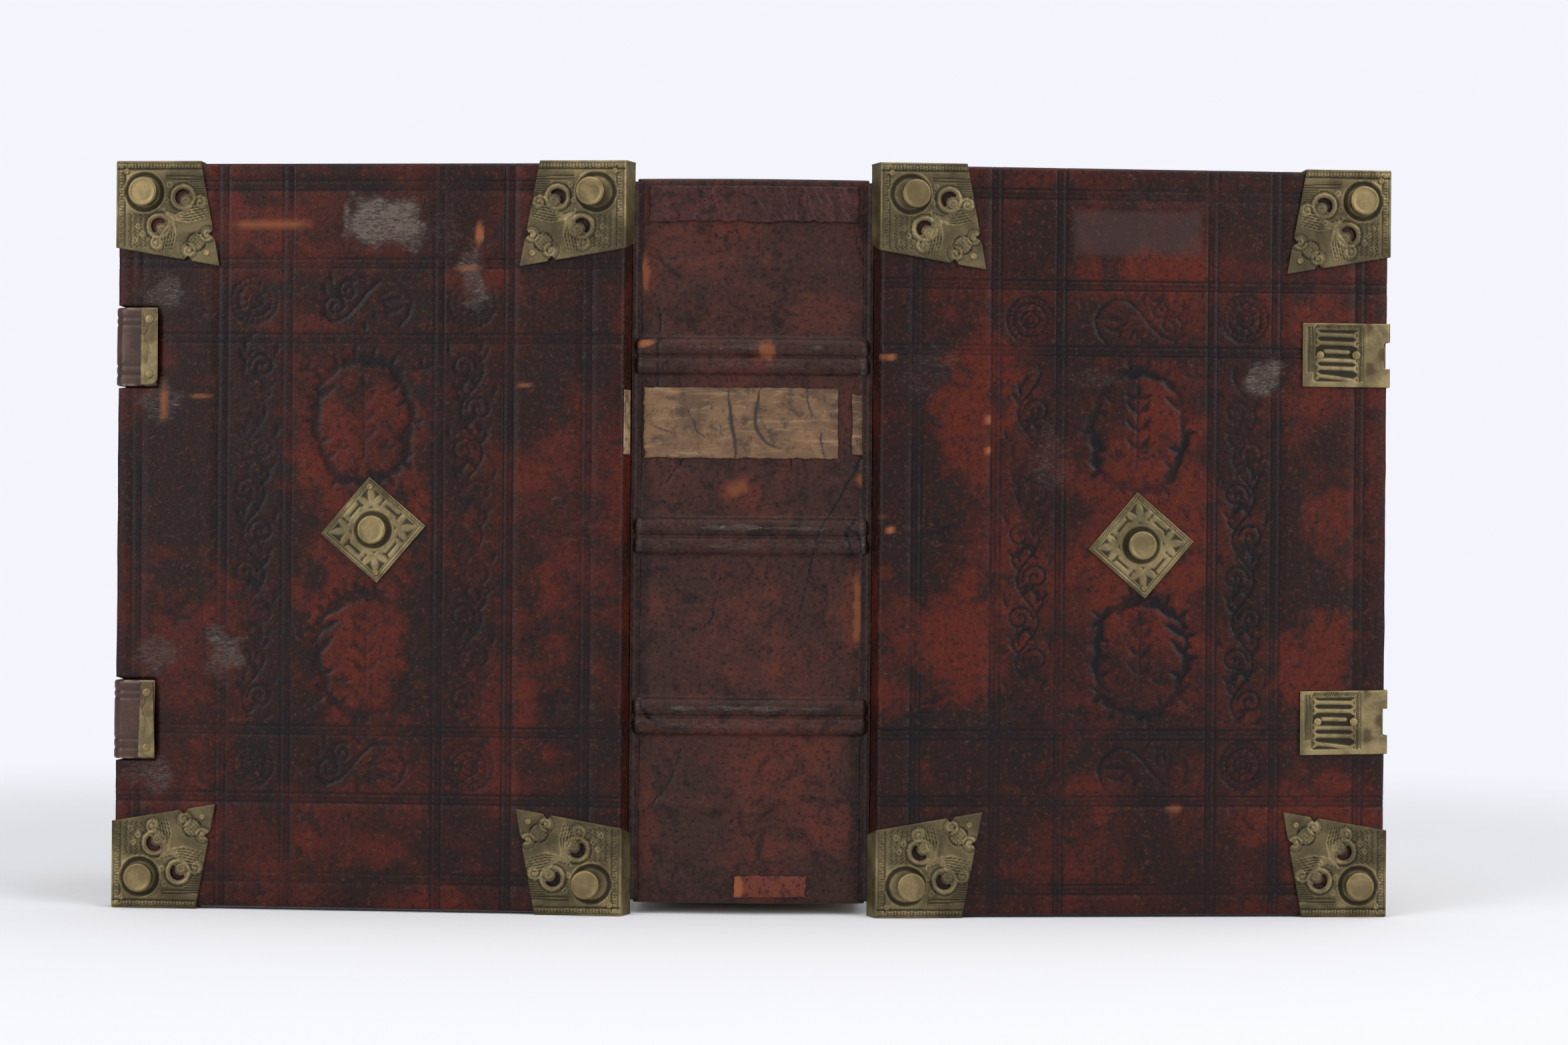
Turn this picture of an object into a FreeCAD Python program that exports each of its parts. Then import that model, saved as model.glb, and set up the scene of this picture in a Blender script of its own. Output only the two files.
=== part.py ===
import FreeCAD, Part
import math
import os
import re

import Sketcher

# An antique leather book standing on its tail, spine forward, with both covers swung open.
# Millimetres. X runs along the open covers, Y from the spine to the fore edge, Z up from the tail.

os.makedirs("parts", exist_ok=True)
doc = FreeCAD.newDocument("leather_book")
sheet = doc.addObject("Spreadsheet::Sheet", "Sizes")

SIZES = dict(
    # text block and spine
    block_thick=75.5, block_deep=166.8, spine_round=2.4, fore_hollow=2.0, spine_proud=1.05,
    spine_skin=1.3, skin_gap=0.05, head_drop=4.2, tail_drop=2.8, cap_deep=5.0, cap_round=1.6,
    cap_skin=0.8, endband_round=0.9, end_clear=0.1, endband_inset=1.6,
    # raised bands over the sewing cords
    cord_round=1.4, cord_slack=0.2, cord_pair=5.8, head_panel=58.0, tail_panel=61.0,
    band_valley=1.2, head_kettle=29.0, tail_kettle=31.4, kettle_wide=7.0, kettle_rise=0.6,
    # paper label and leather repairs on the spine
    label_thick=0.25, label_high=24.1, label_drop=9.7, label_left=36.0, label_split=28.8,
    label_tear=3.2, label_right=36.6, label_lift=1.6,
    repair_thick=0.4, repair_high=13.0, repair_wide=70.0, repair_drop=2.2,
    patch_left=5.5, patch_wide=25.0, patch_high=8.0, patch_lift=1.8,
    # covers
    open_lean=4.5, side_clear=0.3, joint_gap=0.3, bevel_run=2.4, cover_thick=8.0,
    cover_high=243.4, cover_reach=169.8, skin_thick=0.8, edge_bevel=1.0, turnin_thick=0.6,
    turnin_wide=14.0, paper_thick=0.4, paper_margin=4.0, tool_wide=2.6, tool_deep=0.3,
    # blind tooled fillets, measured from the spine side, the head and the tail
    upright_first=12.4, upright_second=38.3, upright_third=59.5, upright_fourth=109.8,
    upright_fifth=130.8, upright_sixth=159.0, level_first=8.8, level_second=37.5,
    level_third=59.3, level_fourth=9.8, level_fifth=37.5, level_sixth=59.0,
    # cord ends laced into the boards
    lace_long=18.0, lace_start=2.6, lace_clear=0.05,
    # brass corner pieces
    plate_thick=0.8, flange_foot=1.5, corner_along=28.2, corner_down=28.5, corner_tip_along=34.6,
    corner_tip_down=34.4, notch_size=1.6, notch_half=1.4, notch_back=10.5, relief_high=0.4,
    border_inset=1.0, border_wide=0.9, border_short=2.0, moon_along=22.4, moon_down=12.0,
    moon_round=3.0, moon_bulge=2.4, moon_hollow=0.8, moon_across=14.4, moon_side=21.4,
    scroll_wide=0.9, scroll_gap=0.8, leaf_start=19.4, leaf_end=26.6, leaf_wide=1.5,
    # bosses
    boss_along=9.6, boss_down=10.3, spine_shift=1.8, boss_round=4.8, boss_top=4.1, boss_high=3.2,
    shank_round=1.3, shank_deep=4.2, shank_clear=0.1,
    # centre plates
    diamond_side=24.5, diamond_turn=4.5, front_centre_across=86.2, front_centre_down=123.6,
    back_centre_across=82.2, back_centre_down=120.4, petal_start=5.4, petal_end=11.6,
    petal_wide=1.5, petal_high=0.3,
    # nails
    nail_round=1.1, nail_high=0.5, nail_shank=0.63, nail_deep=3.4,
    nail_clear=0.08, nail_tip=4.2, nail_corner=3.6, nail_diamond=3.4,
    # catch plates on the front cover
    catch_long=29.2, catch_high=21.4, catch_from_head=60.8, catch_from_tail=64.6,
    catch_skew=1.1, slot_high=9.0, slot_deep=2.2, pocket_high=9.6, pocket_deep=3.6,
    bar_long=12.5, bar_high=1.6, bar_neck=0.5, bar_step=3.9, bar_gap=1.6, rope_wide=1.2,
    rope_inset=0.8, rope_short=2.0, rope_second=8.4, catch_nail=5.8, catch_nail_apart=12.0,
    # straps on the back cover
    strap_high=26.2, strap_from_head=61.0, strap_from_tail=61.8, strap_thick=2.7,
    strap_bed=1.6, strap_start=13.2, strap_slack=0.3, strap_lift=0.05, strap_fold=1.0,
    fold_gap=0.3, strap_short=2.3, strap_bend=2.2,
    anchor_wide=5.6, anchor_high=24.8, anchor_cut=1.5, anchor_inset=9.0, anchor_narrow=4.0,
    anchor_nail=3.4, hook_long=15.6, hook_wide=24.0, hook_taper=4.0, tongue_wide=7.0, tongue_reach=7.0,
    tip_thick=1.0, tip_dip=2.2, rivet_round=1.2, rivet_rise=0.6, rivet_step=7.6,
    rivet_inset=5.0, rivet_clear=0.05,
    # left strip of the label on the back board's spine edge
    strip_foot=3.0, strip_top=7.4,
)

for row, (name, size) in enumerate(SIZES.items(), start=1):
    sheet.set(f"A{row}", name.replace("_", " "))
    sheet.set(f"B{row}", str(size))
    sheet.setAlias(f"B{row}", name)
doc.recompute()

# Lengths worked out from the sizes above.
PAPER_FACE = "(-paper_thick)"
HINGE_X = "(block_thick / 2 + side_clear + paper_thick)"
HINGE_Y = "(-(block_deep - spine_proud - cover_thick - plate_thick - boss_high) / 2)"
SPINE_R = "((block_thick^2 / 4 + spine_round^2) / (2 * spine_round))"
FORE_R = "((block_thick^2 / 4 + fore_hollow^2) / (2 * fore_hollow))"
AXIS_Y = f"({HINGE_Y} - spine_proud + {SPINE_R})"
BACK_R = f"({SPINE_R} + skin_gap)"
FACE_R = f"({BACK_R} + spine_skin)"
CORD_R = f"({SPINE_R} + skin_gap + cord_round)"
HEAD_Z = "(plate_thick + cover_high - head_drop)"
FOOT_Z = "(plate_thick + tail_drop)"
BLOCK_SAG = f"({FOOT_Z} + cap_skin + 2 * endband_round + 3 * end_clear)"
BLOCK_HEAD = f"({HEAD_Z} - cap_skin - 2 * endband_round - 2 * end_clear)"
BLOCK_HIGH = f"({BLOCK_HEAD} - {BLOCK_SAG})"
BAND_Z = dict(
    upper=f"({HEAD_Z} - head_panel)",
    lower=f"({FOOT_Z} + tail_panel)",
)
BAND_Z["middle"] = f"(({BAND_Z['upper']} + {BAND_Z['lower']}) / 2)"
COVER_HEAD = "(plate_thick + cover_high)"
BOOK_HIGH = "(2 * plate_thick + cover_high)"
PLATE_TOP = "(cover_thick + plate_thick)"
SPINE_FACE = "(joint_gap + bevel_run * (1 + plate_thick / cover_thick) - plate_thick)"
FORE_FACE = "(cover_reach + plate_thick)"
WOOD_TOP = "(cover_thick - skin_thick)"

FRAMES = dict(
    block=("0", f"{HINGE_Y} - spine_proud"),
    spine=("0", AXIS_Y),
)
COVERS = dict(front=1, back=-1)

kept = []


def sized(formula):
    """The formula with each size named as a cell of the sheet."""
    return re.sub(r"\b[a-z]+(?:_[a-z]+)+\b", lambda word: "Sizes." + word.group(0), formula)


def number(formula):
    """The value of a formula at the sizes in the sheet."""
    value = sheet.evalExpression(formula)
    return float(getattr(value, "Value", value))


def bind(thing, setting, formula):
    thing.setExpression(setting, sized(formula))


def cover_frame(side):
    """Local X runs along the board, Y up it and Z out of its outer face."""
    base = f"create(<<vector>>; {side} * {HINGE_X}; {HINGE_Y}; 0)"
    turn = f"create(<<rotation>>; {side} * open_lean; 0; 90)"
    return f"create(<<placement>>; {base}; {turn})"


def new_body(label, frame):
    body = doc.addObject("PartDesign::Body", label)
    body.Label = label
    body.AllowCompound = True
    if frame in COVERS:
        bind(body, "Placement", cover_frame(COVERS[frame]))
    else:
        bind(body, "Placement.Base.x", FRAMES[frame][0])
        bind(body, "Placement.Base.y", FRAMES[frame][1])
    return body


def sub_part(label, frame):
    """A body whose shape is one of the book's pieces."""
    body = new_body(label, frame)
    kept.append(body)
    return body


def plane_of(body, role):
    return next(item for item in body.Origin.OriginFeatures if item.Role == role)


def sketch_on(body, role, height="0"):
    sketch = body.newObject("Sketcher::SketchObject", body.Label + "_sketch")
    sketch.AttachmentSupport = [(plane_of(body, role), "")]
    sketch.MapMode = "FlatFace"
    bind(sketch, "AttachmentOffset.Base.z", height)
    return sketch


def fix_point(sketch, edge, end, x, y):
    for kind, formula in (("DistanceX", x), ("DistanceY", y)):
        fixed = Sketcher.Constraint(kind, -1, 1, edge, end, number(formula))
        bind(sketch, f"Constraints[{sketch.addConstraint(fixed)}]", formula)


def arc_between(start, stop, radius, turn):
    """The short arc from start to stop, anticlockwise where turn is 1 and clockwise at -1."""
    along = FreeCAD.Vector(stop[0] - start[0], stop[1] - start[1], 0)
    left = FreeCAD.Vector(-along.y, along.x, 0).normalize()
    rise = math.sqrt(max(0.0, radius**2 - along.Length**2 / 4))
    centre = FreeCAD.Vector(*start, 0) + along / 2 + left * rise * turn
    first = math.atan2(start[1] - centre.y, start[0] - centre.x)
    last = math.atan2(stop[1] - centre.y, stop[0] - centre.x)
    circle = Part.Circle(centre, FreeCAD.Vector(0, 0, 1), radius)
    if turn > 0:
        return Part.ArcOfCircle(circle, first, last)
    return Part.ArcOfCircle(circle, last, first)


def closed_loop(sketch, points):
    """A closed outline. A point is (x, y), or (x, y, radius, turn) where an arc leads to it."""
    places = [(number(point[0]), number(point[1])) for point in points]
    ends = []
    for index, start in enumerate(places):
        after = (index + 1) % len(places)
        stop = places[after]
        if len(points[after]) == 2:
            line = Part.LineSegment(FreeCAD.Vector(*start, 0), FreeCAD.Vector(*stop, 0))
            ends.append((sketch.addGeometry(line, False), 1, 2))
            continue
        radius, turn = points[after][2:]
        arc = arc_between(start, stop, number(radius), turn)
        edge = sketch.addGeometry(arc, False)
        ends.append((edge, 1, 2) if turn > 0 else (edge, 2, 1))
    for index, (edge, first, last) in enumerate(ends):
        following, its_first, its_last = ends[(index + 1) % len(ends)]
        sketch.addConstraint(Sketcher.Constraint("Coincident", edge, last, following, its_first))
        fix_point(sketch, edge, first, points[index][0], points[index][1])
    for index, (edge, first, last) in enumerate(ends):
        arrival = points[(index + 1) % len(points)]
        if len(arrival) == 4:
            fixed = Sketcher.Constraint("Radius", edge, number(arrival[2]))
            bind(sketch, f"Constraints[{sketch.addConstraint(fixed)}]", arrival[2])


def rectangle(sketch, left, right, bottom, top):
    closed_loop(sketch, [(left, bottom), (right, bottom), (right, top), (left, top)])


def many_sided(sketch, x, y, radius, sides):
    """A regular polygon, which stands for a small round with few faces."""
    turn = 360 / sides
    corners = []
    for step in range(sides):
        angle = turn * (step + 0.5)
        corners.append((f"{x} + {radius} * cos({angle})", f"{y} + {radius} * sin({angle})"))
    closed_loop(sketch, corners)


def grow(body, kind, sketch, length, back, sign):
    before = body.Shape.Volume if not body.Shape.isNull() else 0.0
    feature = body.newObject("PartDesign::" + kind, body.Label + "_" + kind.lower())
    feature.Profile = sketch
    feature.Reversed = back
    bind(feature, "Length", length)
    doc.recompute()
    if sign * (body.Shape.Volume - before) <= 0:
        raise RuntimeError(f"{kind} on {body.Label} changed nothing")
    return feature


def pad(body, sketch, length, back=False):
    return grow(body, "Pad", sketch, length, back, 1)


def pocket(body, sketch, length, back=False):
    return grow(body, "Pocket", sketch, length, back, -1)


SPINE_STEPS = [
    ("0", f"-{SPINE_R}"),
    ("block_thick / 4", f"-sqrt({SPINE_R}^2 - block_thick^2 / 16)"),
    ("block_thick / 2", f"-sqrt({SPINE_R}^2 - block_thick^2 / 4)"),
]


def carried_round(body, outline):
    """Carries an outline from the middle of the spine to both sides, in flats that follow its round."""
    path = sketch_on(body, "XY_Plane")
    places = [FreeCAD.Vector(number(x), number(y), 0) for x, y in SPINE_STEPS]
    for index in range(len(places) - 1):
        path.addGeometry(Part.LineSegment(places[index], places[index + 1]), False)
        fix_point(path, index, 1, *SPINE_STEPS[index])
    for index in range(len(places) - 2):
        path.addConstraint(Sketcher.Constraint("Coincident", index, 2, index + 1, 1))
    fix_point(path, len(places) - 2, 2, *SPINE_STEPS[-1])
    swept = body.newObject("PartDesign::AdditivePipe", body.Label + "_swept")
    swept.Profile = outline
    swept.Spine = (path, [f"Edge{index}" for index in range(1, len(places))])
    swept.Transition = "Right corner"
    swept.Mode = "Binormal"
    swept.Binormal = FreeCAD.Vector(0, 0, 1)
    doc.recompute()
    other_half = body.newObject("PartDesign::Mirrored", body.Label + "_other_half")
    other_half.Originals = [swept]
    other_half.MirrorPlane = (plane_of(body, "YZ_Plane"), [""])
    body.Tip = other_half
    doc.recompute()


def boolean(kind, label, base, tool):
    result = doc.addObject("Part::" + kind, label)
    result.Label = label
    result.Base = base
    result.Tool = tool
    doc.recompute()
    return result


def text_block():
    """The sewn pages: a rounded spine, a hollow fore edge, and a sag that reaches the floor."""
    block = sub_part("text_block", "block")
    half = "block_thick / 2"
    flat_turn = f"{SPINE_R} - sqrt({SPINE_R}^2 - block_thick^2 / 16)"
    outline = sketch_on(block, "XY_Plane")
    closed_loop(outline, [
        (f"-{half}", "spine_round"),
        ("-block_thick / 4", flat_turn),
        ("0", "0"),
        ("block_thick / 4", flat_turn),
        (half, "spine_round"),
        (half, "block_deep"),
        (f"-{half}", "block_deep", FORE_R, -1),
    ])
    pad(block, outline, f"{BLOCK_HIGH} + {BLOCK_SAG}")
    over = "block_thick / 10"
    high_end = f"{BLOCK_SAG} * (1 + {over} / block_deep)"
    low_end = f"-{BLOCK_SAG} * {over} / block_deep"
    tail = sketch_on(block, "YZ_Plane", f"-{half} - {over}")
    closed_loop(tail, [
        (f"-{over}", f"-{over}"),
        (f"block_deep + {over}", f"-{over}"),
        (f"block_deep + {over}", low_end),
        (f"-{over}", high_end),
    ])
    pocket(block, tail, f"block_thick + 2 * {over}", back=True)
    head = sketch_on(block, "YZ_Plane", f"-{half} - {over}")
    closed_loop(head, [
        (f"-{over}", f"{BLOCK_HIGH} + {high_end}"),
        (f"block_deep + {over}", f"{BLOCK_HIGH} {low_end}"),
        (f"block_deep + {over}", f"{BLOCK_HIGH} + {BLOCK_SAG} + {over}"),
        (f"-{over}", f"{BLOCK_HIGH} + {BLOCK_SAG} + {over}"),
    ])
    pocket(block, head, f"block_thick + 2 * {over}", back=True)


RIDGE_TURNS = (-50, -17, 17, 50)


def band_outside(middle):
    """Both ridges of one raised band, from the tail side up."""
    ridge = "(cord_round + cord_slack / 2 + spine_skin)"
    foot = f"sqrt({ridge}^2 - (cord_round - spine_skin)^2)"
    lip = f"sqrt({ridge}^2 - (band_valley + spine_skin - cord_round)^2)"
    valley = f"-({FACE_R} + band_valley)"
    lower = f"({middle} - cord_pair / 2)"
    upper = f"({middle} + cord_pair / 2)"
    over = {
        cord: [
            (f"-({CORD_R} + {ridge} * cos({turn}))", f"{cord} + {ridge} * sin({turn})")
            for turn in RIDGE_TURNS
        ]
        for cord in (lower, upper)
    }
    return [
        (f"-{FACE_R}", f"{lower} - {foot}"), *over[lower], (valley, f"{lower} + {lip}"),
        (valley, f"{upper} - {lip}"), *over[upper], (f"-{FACE_R}", f"{upper} + {foot}"),
    ]


def cord_hollow(middle):
    """The space that one cord fills behind the leather, from the head side down."""
    wide = "(cord_round + cord_slack)"
    top = f"-({CORD_R} + cord_round + cord_slack / 2)"
    return [
        (f"-{BACK_R}", f"{middle} + {wide}"),
        (top, f"{middle} + {wide} * 3 / 4"),
        (top, f"{middle} - {wide} * 3 / 4"),
        (f"-{BACK_R}", f"{middle} - {wide}"),
    ]


def kettle(middle):
    """The low ridge over a kettle stitch."""
    return [
        (f"-{FACE_R}", f"{middle} - kettle_wide / 2"),
        (f"-({FACE_R} + kettle_rise)", f"{middle} - kettle_wide / 6"),
        (f"-({FACE_R} + kettle_rise)", f"{middle} + kettle_wide / 6"),
        (f"-{FACE_R}", f"{middle} + kettle_wide / 2"),
    ]


def spine_leather():
    """One skin over cords and kettle stitches, turned in over both endbands."""
    skin = sub_part("spine_leather", "spine")
    outline = sketch_on(skin, "YZ_Plane")
    inside = f"-({FACE_R} - cap_deep)"
    points = [
        (inside, FOOT_Z),
        (f"-({FACE_R} - cap_round)", FOOT_Z),
        (f"-{FACE_R}", f"{FOOT_Z} + cap_round"),
    ]
    points += kettle(f"({FOOT_Z} + tail_kettle)")
    for name in ("lower", "middle", "upper"):
        points += band_outside(BAND_Z[name])
    points += kettle(f"({HEAD_Z} - head_kettle)")
    points += [
        (f"-{FACE_R}", f"{HEAD_Z} - cap_round"),
        (f"-({FACE_R} - cap_round)", HEAD_Z),
        (inside, HEAD_Z),
        (inside, f"{HEAD_Z} - cap_skin"),
        (f"-{BACK_R}", f"{HEAD_Z} - cap_skin"),
    ]
    for name in ("upper", "middle", "lower"):
        points += cord_hollow(f"({BAND_Z[name]} + cord_pair / 2)")
        points += cord_hollow(f"({BAND_Z[name]} - cord_pair / 2)")
    points += [
        (f"-{BACK_R}", f"{FOOT_Z} + cap_skin"),
        (inside, f"{FOOT_Z} + cap_skin"),
    ]
    closed_loop(outline, points)
    carried_round(skin, outline)


def sewing_cords():
    """Two cords under each raised band, lying on the folds of the gatherings."""
    for name, middle in BAND_Z.items():
        cords = sub_part(f"{name}_band_cords", "spine")
        for side in ("+", "-"):
            outline = sketch_on(cords, "YZ_Plane")
            many_sided(outline, f"-{CORD_R}", f"{middle} {side} cord_pair / 2", "cord_round", 6)
            carried_round(cords, outline)


def endbands():
    """A sewn roll at each end of the spine, between the pages and the turned-in leather."""
    heights = dict(
        head=f"{HEAD_Z} - cap_skin - end_clear - endband_round",
        tail=f"{FOOT_Z} + cap_skin + end_clear + endband_round",
    )
    for name, height in heights.items():
        roll = sub_part(f"{name}_endband", "spine")
        outline = sketch_on(roll, "YZ_Plane")
        many_sided(outline, f"-({SPINE_R} - endband_inset)", height, "endband_round", 6)
        carried_round(roll, outline)


def curved_sheet(body, left, right, bottom, high, thick):
    """A thin sheet glued round the spine between two places, in flats like the leather under it."""
    inner = f"({FACE_R} + skin_gap)"
    outer = f"({FACE_R} + skin_gap + {thick})"
    folds = [f"{step} * block_thick / 4" for step in (-1, 0, 1)]
    crossed = [fold for fold in folds if number(left) < number(fold) < number(right)]
    places = [left, *crossed, right]
    outline = sketch_on(body, "XY_Plane", bottom)
    closed_loop(outline, [
        *[(place, f"-sqrt({outer}^2 - ({place})^2)") for place in places],
        *[(place, f"-sqrt({inner}^2 - ({place})^2)") for place in reversed(places)],
    ])
    pad(body, outline, high)


def spine_paper_and_repairs():
    """The cracked paper label in two pieces, and the newer leather at the head and tail."""
    label = sub_part("spine_label", "spine")
    foot = f"{BAND_Z['upper']} - label_drop - label_high"
    curved_sheet(label, "-label_left", "label_split", foot, "label_high", "label_thick")
    curved_sheet(
        label, "label_split + label_tear", "label_right",
        f"{foot} + label_lift", "label_high - 2 * label_lift", "label_thick",
    )
    repair = sub_part("head_repair_leather", "spine")
    curved_sheet(
        repair, "-repair_wide / 2", "repair_wide / 2",
        f"{HEAD_Z} - repair_drop - repair_high", "repair_high", "repair_thick",
    )
    patch = sub_part("tail_repair_leather", "spine")
    curved_sheet(
        patch, "-patch_left", "patch_wide - patch_left",
        f"{FOOT_Z} + patch_lift", "patch_high", "repair_thick",
    )


def corner_places():
    """Name, edge and sign of the four corners of a cover."""
    return [
        (f"{end}_{side}", end, side) for end in ("head", "tail") for side in ("spine", "fore")
    ]


class Corner:
    """Lengths from one corner of a cover: along its head or tail edge, and down its side."""

    def __init__(self, cover, end, side):
        self.sign = COVERS[cover]
        self.away = "+" if side == "spine" else "-"
        self.edge = SPINE_FACE if side == "spine" else FORE_FACE
        self.start = BOOK_HIGH if end == "head" else "0"
        self.down = "-" if end == "head" else "+"
        self.shift = "spine_shift" if side == "spine" else "0"
        self.hand = self.sign * (1 if side == "spine" else -1) * (-1 if end == "head" else 1)

    def at(self, along, down):
        x = f"{self.sign} * ({self.edge} {self.away} ({along}))"
        y = f"{self.start} {self.down} ({down})"
        return x, y

    def boss(self):
        return self.at(f"boss_along + {self.shift}", "boss_down")


def shank_places(cover):
    """Where the bosses of one cover stand."""
    places = [Corner(cover, end, side).boss() for name, end, side in corner_places()]
    return places + [centre_of(cover)]


def centre_of(cover):
    across = f"{COVERS[cover]} * ({SPINE_FACE} + {cover}_centre_across)"
    return across, f"{BOOK_HIGH} - {cover}_centre_down"


def clasp_heights(cover):
    fitting = "catch" if cover == "front" else "strap"
    return dict(
        upper=f"({BOOK_HIGH} - {fitting}_from_head)",
        lower=f"({fitting}_from_tail)",
    )


def board_form(body, cover, inset, foot, top):
    """The plain board, or the outside of its leather where the inset is nothing."""
    sign = COVERS[cover]
    slope = "bevel_run / cover_thick"
    section = sketch_on(body, "XZ_Plane", f"-(plate_thick + {inset})")
    closed_loop(section, [
        (f"{sign} * (joint_gap + {inset} + {slope} * {foot})", foot),
        (f"{sign} * (joint_gap + {inset} + {slope} * {top})", top),
        (f"{sign} * (cover_reach - {inset})", top),
        (f"{sign} * (cover_reach - {inset})", foot),
    ])
    pad(body, section, f"cover_high - 2 * {inset}", back=True)


def bevel_outer_edges(body, cover):
    """Takes the sharp edge off the outer face at its head, tail and fore edges, as wear has done."""
    fore = COVERS[cover] * number("cover_reach")
    square = body.Tip
    edges = []
    for index, edge in enumerate(square.Shape.Edges, start=1):
        box = edge.BoundBox
        outer = abs(box.ZMin - number("cover_thick")) < 1e-4
        if outer and (box.YLength < 1e-4 or abs(box.XMax - fore) < 1e-4):
            edges.append(f"Edge{index}")
    worn = body.newObject("PartDesign::Chamfer", body.Label + "_bevel")
    worn.Base = (square, edges)
    bind(worn, "Size", "edge_bevel")
    doc.recompute()


def clasp_beds(body, cover, inset):
    """On the back board the straps lie in shallow beds; on the front one the hooks have pockets."""
    sign = COVERS[cover]
    rim = f"{sign} * {FORE_FACE}"
    for middle in clasp_heights(cover).values():
        if cover == "front":
            pocket_edge = sketch_on(body, "XY_Plane", PLATE_TOP)
            half = f"(pocket_high / 2 + {inset})"
            rectangle(
                pocket_edge, f"{sign} * (cover_reach - pocket_deep - {inset})", rim,
                f"{middle} - {half}", f"{middle} + {half}",
            )
            pocket(body, pocket_edge, f"{PLATE_TOP} - flange_foot + {inset}")
            continue
        half = f"(strap_high / 2 + strap_slack + {inset})"
        bed = sketch_on(body, "XY_Plane", PLATE_TOP)
        rectangle(
            bed, f"{sign} * (cover_reach - strap_start - strap_slack - {inset})", rim,
            f"{middle} - {half}", f"{middle} + {half}",
        )
        pocket(body, bed, f"plate_thick + strap_bed + {inset}")
        groove = sketch_on(body, "XY_Plane", PLATE_TOP)
        rectangle(
            groove, f"{sign} * (cover_reach - strap_bed - {inset})", rim,
            f"{middle} - {half}", f"{middle} + {half}",
        )
        pocket(body, groove, "2 * cover_thick")


def shank_holes(body, cover):
    """A square hole for the shank of each boss, and a smaller one for each nail."""
    holes = sketch_on(body, "XY_Plane", "cover_thick")
    for x, y in shank_places(cover):
        many_sided(holes, x, y, "(shank_round + shank_clear)", 4)
    pocket(body, holes, "shank_deep + shank_clear")
    nail_holes(body, nail_spots(cover) + clasp_nail_spots(cover), "cover_thick", "nail_deep")


def nail_holes(body, spots, face, deep):
    holes = sketch_on(body, "XY_Plane", face)
    for x, y in spots:
        many_sided(holes, x, y, "(nail_shank + nail_clear)", 4)
    pocket(body, holes, deep)


def tooled_fillets(body, cover):
    """The blind fillets that frame the panels, upright ones and then level ones."""
    sign = COVERS[cover]
    rim = "edge_bevel"
    uprights = sketch_on(body, "XY_Plane", "cover_thick")
    for name in ("first", "second", "third", "fourth", "fifth", "sixth"):
        middle = f"({SPINE_FACE} + upright_{name})"
        rectangle(
            uprights, f"{sign} * ({middle} - tool_wide / 2)", f"{sign} * ({middle} + tool_wide / 2)",
            f"plate_thick + {rim}", f"{COVER_HEAD} - {rim}",
        )
    pocket(body, uprights, "tool_deep")
    levels = sketch_on(body, "XY_Plane", "cover_thick")
    heights = [f"({BOOK_HIGH} - level_{name})" for name in ("first", "second", "third")]
    heights += [f"level_{name}" for name in ("fourth", "fifth", "sixth")]
    for middle in heights:
        rectangle(
            levels, f"{sign} * (joint_gap + bevel_run + {rim})", f"{sign} * (cover_reach - {rim})",
            f"{middle} - tool_wide / 2", f"{middle} + tool_wide / 2",
        )
    pocket(body, levels, "tool_deep")


def covered_board(cover):
    """A wooden board, the leather drawn over it and turned in, and the pastedown inside."""
    sign = COVERS[cover]
    wood = new_body(f"{cover}_board_form", cover)
    board_form(wood, cover, "skin_thick", "turnin_thick", WOOD_TOP)
    clasp_beds(wood, cover, "skin_thick")
    shank_holes(wood, cover)

    outside = new_body(f"{cover}_leather_form", cover)
    board_form(outside, cover, "0", "0", "cover_thick")
    bevel_outer_edges(outside, cover)
    clasp_beds(outside, cover, "0")
    shank_holes(outside, cover)
    tooled_fillets(outside, cover)
    opening = sketch_on(outside, "XY_Plane", "turnin_thick")
    rectangle(
        opening, f"{sign} * (joint_gap + skin_thick + bevel_run / cover_thick * turnin_thick)",
        f"{sign} * (cover_reach - turnin_wide)",
        "plate_thick + turnin_wide", f"{COVER_HEAD} - turnin_wide",
    )
    pocket(outside, opening, "turnin_thick")

    leather = boolean("Cut", f"{cover}_cover_leather", outside, wood)
    kept.append(leather)

    channels = new_body(f"{cover}_cord_channels", cover)
    laced_cords(channels, cover, channel=True)
    board = boolean("Cut", f"{cover}_board", wood, channels)
    kept.append(board)
    ends = sub_part(f"{cover}_cord_ends", cover)
    laced_cords(ends, cover, channel=False)

    paper = sub_part(f"{cover}_pastedown", cover)
    sheet_edge = sketch_on(paper, "XY_Plane", PAPER_FACE)
    near = "(joint_gap + skin_thick)"
    rectangle(
        sheet_edge, f"{sign} * {near}", f"{sign} * (cover_reach - paper_margin)",
        "plate_thick + paper_margin", f"{COVER_HEAD} - paper_margin",
    )
    pad(paper, sheet_edge, "paper_thick")
    clear = "(turnin_wide + end_clear)"
    sunk = sketch_on(paper, "XY_Plane", "0")
    rectangle(
        sunk, f"{sign} * ({near} + bevel_run / cover_thick * turnin_thick)",
        f"{sign} * (cover_reach - {clear})", f"plate_thick + {clear}", f"{COVER_HEAD} - {clear}",
    )
    pad(paper, sunk, "turnin_thick")
    dish = sketch_on(paper, "XY_Plane", PAPER_FACE)
    rim = f"({clear} + paper_thick)"
    rectangle(
        dish, f"{sign} * ({near} + paper_thick)", f"{sign} * (cover_reach - {rim})",
        f"plate_thick + {rim}", f"{COVER_HEAD} - {rim}",
    )
    pocket(paper, dish, "turnin_thick", back=True)


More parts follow.
